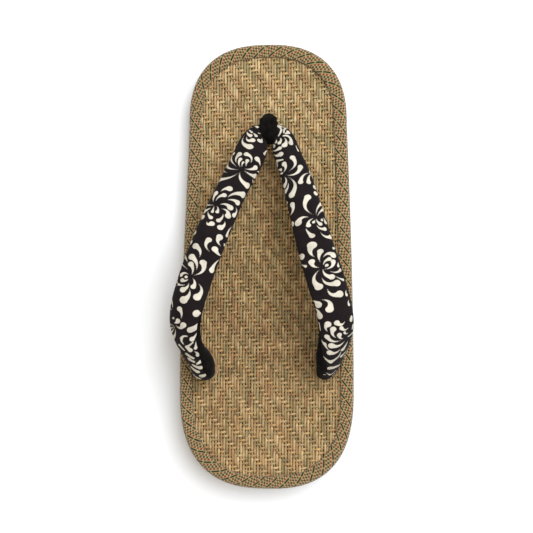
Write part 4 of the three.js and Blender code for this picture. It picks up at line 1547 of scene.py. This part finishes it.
def build_toe_loop():
    """Ring and post joined into one soft piece."""
    ring, post = build_loop_ring(), build_post()
    with bpy.context.temp_override(active_object=ring, selected_editable_objects=[ring, post]):
        bpy.ops.object.join()
    ring.name = "toe_loop"
    ring.data.name = "toe_loop"
    remesh = ring.modifiers.new("one_skin", "REMESH")
    remesh.mode = "VOXEL"
    remesh.voxel_size = LOOP_MESH * MM
    smooth = ring.modifiers.new("soften", "SMOOTH")
    smooth.factor = 0.5
    smooth.iterations = 6
    apply_modifiers(ring)
    set_smooth(ring.data, True)
    return ring


def apply_modifiers(made):
    depsgraph = bpy.context.evaluated_depsgraph_get()
    mesh = bpy.data.meshes.new_from_object(made.evaluated_get(depsgraph))
    made.modifiers.clear()
    made.data = mesh


# ---- Stage -------------------------------------------------------------------------------------

CAMERA_AIM = Vector((0, 0, 0.024))
CAMERA_SIDE = -0.0439
CAMERA_FORWARD = -0.0097
FLOOR_HALF = 2.5
LIGHT_PLACE = Vector((-0.5, -0.42, 1.25))
LIGHT_SIZE = 1.1
LIGHT_COLOR = (0.93, 1.0, 1.09)
SKY_COLOR = (1.0, 0.91, 0.8, 1)


def floor_material(color):
    material, tree, shader = start_material("floor", 0.9, specular=0.1)
    paint(tree, shader, mottled(tree, noise(tree, 8, 2), color, 0.99))
    return material


def build_floor(settings):
    corners = [(-1, -1), (1, -1), (1, 1), (-1, 1)]
    half = FLOOR_HALF / MM
    floor = new_object("floor", [(x * half, y * half, 0) for x, y in corners], [(0, 1, 2, 3)])
    floor.data.materials.append(floor_material(settings.floor))


def aimed(place_at, target, picture_up):
    """A matrix at a place, looking at a target, with a direction kept up in the picture."""
    forward = (target - place_at).normalized()
    right = forward.cross(picture_up).normalized()
    up = right.cross(forward)
    turned = Matrix((right, up, -forward)).transposed().to_4x4()
    return Matrix.Translation(place_at) @ turned


def build_camera(settings):
    camera = bpy.data.cameras.new("camera")
    camera.sensor_fit = "HORIZONTAL"
    camera.angle = settings.angle_of_view
    camera.clip_start = 0.01
    camera.clip_end = 20
    made = bpy.data.objects.new("camera", camera)
    bpy.context.scene.collection.objects.link(made)
    place_at = Vector((CAMERA_SIDE, CAMERA_FORWARD, settings.camera_height))
    made.matrix_world = aimed(place_at, CAMERA_AIM, Vector((0, -1, 0)))
    bpy.context.scene.camera = made


def build_lights(settings):
    light = bpy.data.lights.new("key", "AREA")
    light.shape = "DISK"
    light.size = LIGHT_SIZE
    light.energy = settings.sun_power
    light.color = LIGHT_COLOR
    made = bpy.data.objects.new("key", light)
    bpy.context.scene.collection.objects.link(made)
    made.matrix_world = aimed(LIGHT_PLACE, Vector((0, 0, 0)), Vector((0, 0, 1)))
    world = bpy.data.worlds.new("sky")
    world.use_nodes = True
    background = world.node_tree.nodes["Background"]
    background.inputs["Color"].default_value = SKY_COLOR
    background.inputs["Strength"].default_value = settings.sky
    bpy.context.scene.world = world


# ---- Operators ---------------------------------------------------------------------------------


class ZORI_OT_sole(bpy.types.Operator):
    """Build the rubber outsole and the foam wedge"""

    bl_idname = "zori.sole"
    bl_label = "Sole"

    def execute(self, context):
        settings = context.scene.zori_sole
        dress(build_outsole(), rubber_material(settings.rubber), "outsole_rubber", "outsole")
        dress(build_midsole(), foam_material(settings.foam), "midsole_foam", "midsole")
        return {"FINISHED"}


class ZORI_OT_mat(bpy.types.Operator):
    """Weave the rush mat"""

    bl_idname = "zori.mat"
    bl_label = "Woven mat"

    def execute(self, context):
        settings = context.scene.zori_mat
        dress(build_mat_base(), underlay_shade_material(), "woven_rush", "mat")
        dress(build_strands(settings), strand_material(settings), "woven_rush", "mat")
        dress(build_wefts(settings), weft_material(settings), "woven_rush", "mat")
        return {"FINISHED"}


class ZORI_OT_binding(bpy.types.Operator):
    """Fold the striped tape round the mat's edge"""

    bl_idname = "zori.binding"
    bl_label = "Binding tape"

    def execute(self, context):
        settings = context.scene.zori_tape
        dress(build_binding(), tape_material(settings), "binding_cloth", "binding")
        return {"FINISHED"}


class ZORI_OT_strap(bpy.types.Operator):
    """Make the padded strap, printed outside and lined inside"""

    bl_idname = "zori.strap"
    bl_label = "Strap"

    def execute(self, context):
        settings = context.scene.zori_strap
        face = build_strap_face()
        dress(face, printed_cloth_material(settings), "strap_cloth", "strap")
        lining = build_strap_lining()
        dress(lining, velour_material(settings.velour), "velour", "strap")
        return {"FINISHED"}


class ZORI_OT_loop(bpy.types.Operator):
    """Make the velour loop and its post"""

    bl_idname = "zori.loop"
    bl_label = "Toe loop"

    def execute(self, context):
        settings = context.scene.zori_strap
        dress(build_toe_loop(), velour_material(settings.velour), "velour", "toe_post")
        return {"FINISHED"}


class ZORI_OT_stage(bpy.types.Operator):
    """Lay the floor and set the camera and the lights"""

    bl_idname = "zori.stage"
    bl_label = "Stage"

    def execute(self, context):
        settings = context.scene.zori_stage
        build_floor(settings)
        build_camera(settings)
        build_lights(settings)
        context.scene.view_settings.view_transform = "Standard"
        return {"FINISHED"}


class ZORI_PT_panel(bpy.types.Panel):
    """Lists the sandal's pieces and their settings"""

    bl_idname = "ZORI_PT_panel"
    bl_label = "Zori sandal"
    bl_space_type = "VIEW_3D"
    bl_region_type = "UI"
    bl_category = "Zori"

    def draw(self, context):
        for operator in OPERATORS:
            self.layout.operator(operator.bl_idname)
        for name, group in SETTINGS.items():
            box = self.layout.box()
            for key in group.__annotations__:
                box.prop(getattr(context.scene, name), key)


OPERATORS = (
    ZORI_OT_sole,
    ZORI_OT_mat,
    ZORI_OT_binding,
    ZORI_OT_strap,
    ZORI_OT_loop,
    ZORI_OT_stage,
)
CLASSES = (*SETTINGS.values(), *OPERATORS, ZORI_PT_panel)


def register():
    for item in CLASSES:
        bpy.utils.register_class(item)
    for name, group in SETTINGS.items():
        setattr(bpy.types.Scene, name, PointerProperty(type=group))


def unregister():
    for name in SETTINGS:
        delattr(bpy.types.Scene, name)
    for item in reversed(CLASSES):
        bpy.utils.unregister_class(item)


def main():
    register()
    for operator in OPERATORS:
        section, name = operator.bl_idname.split(".")
        getattr(getattr(bpy.ops, section), name)()


if __name__ == "__main__":
    main()
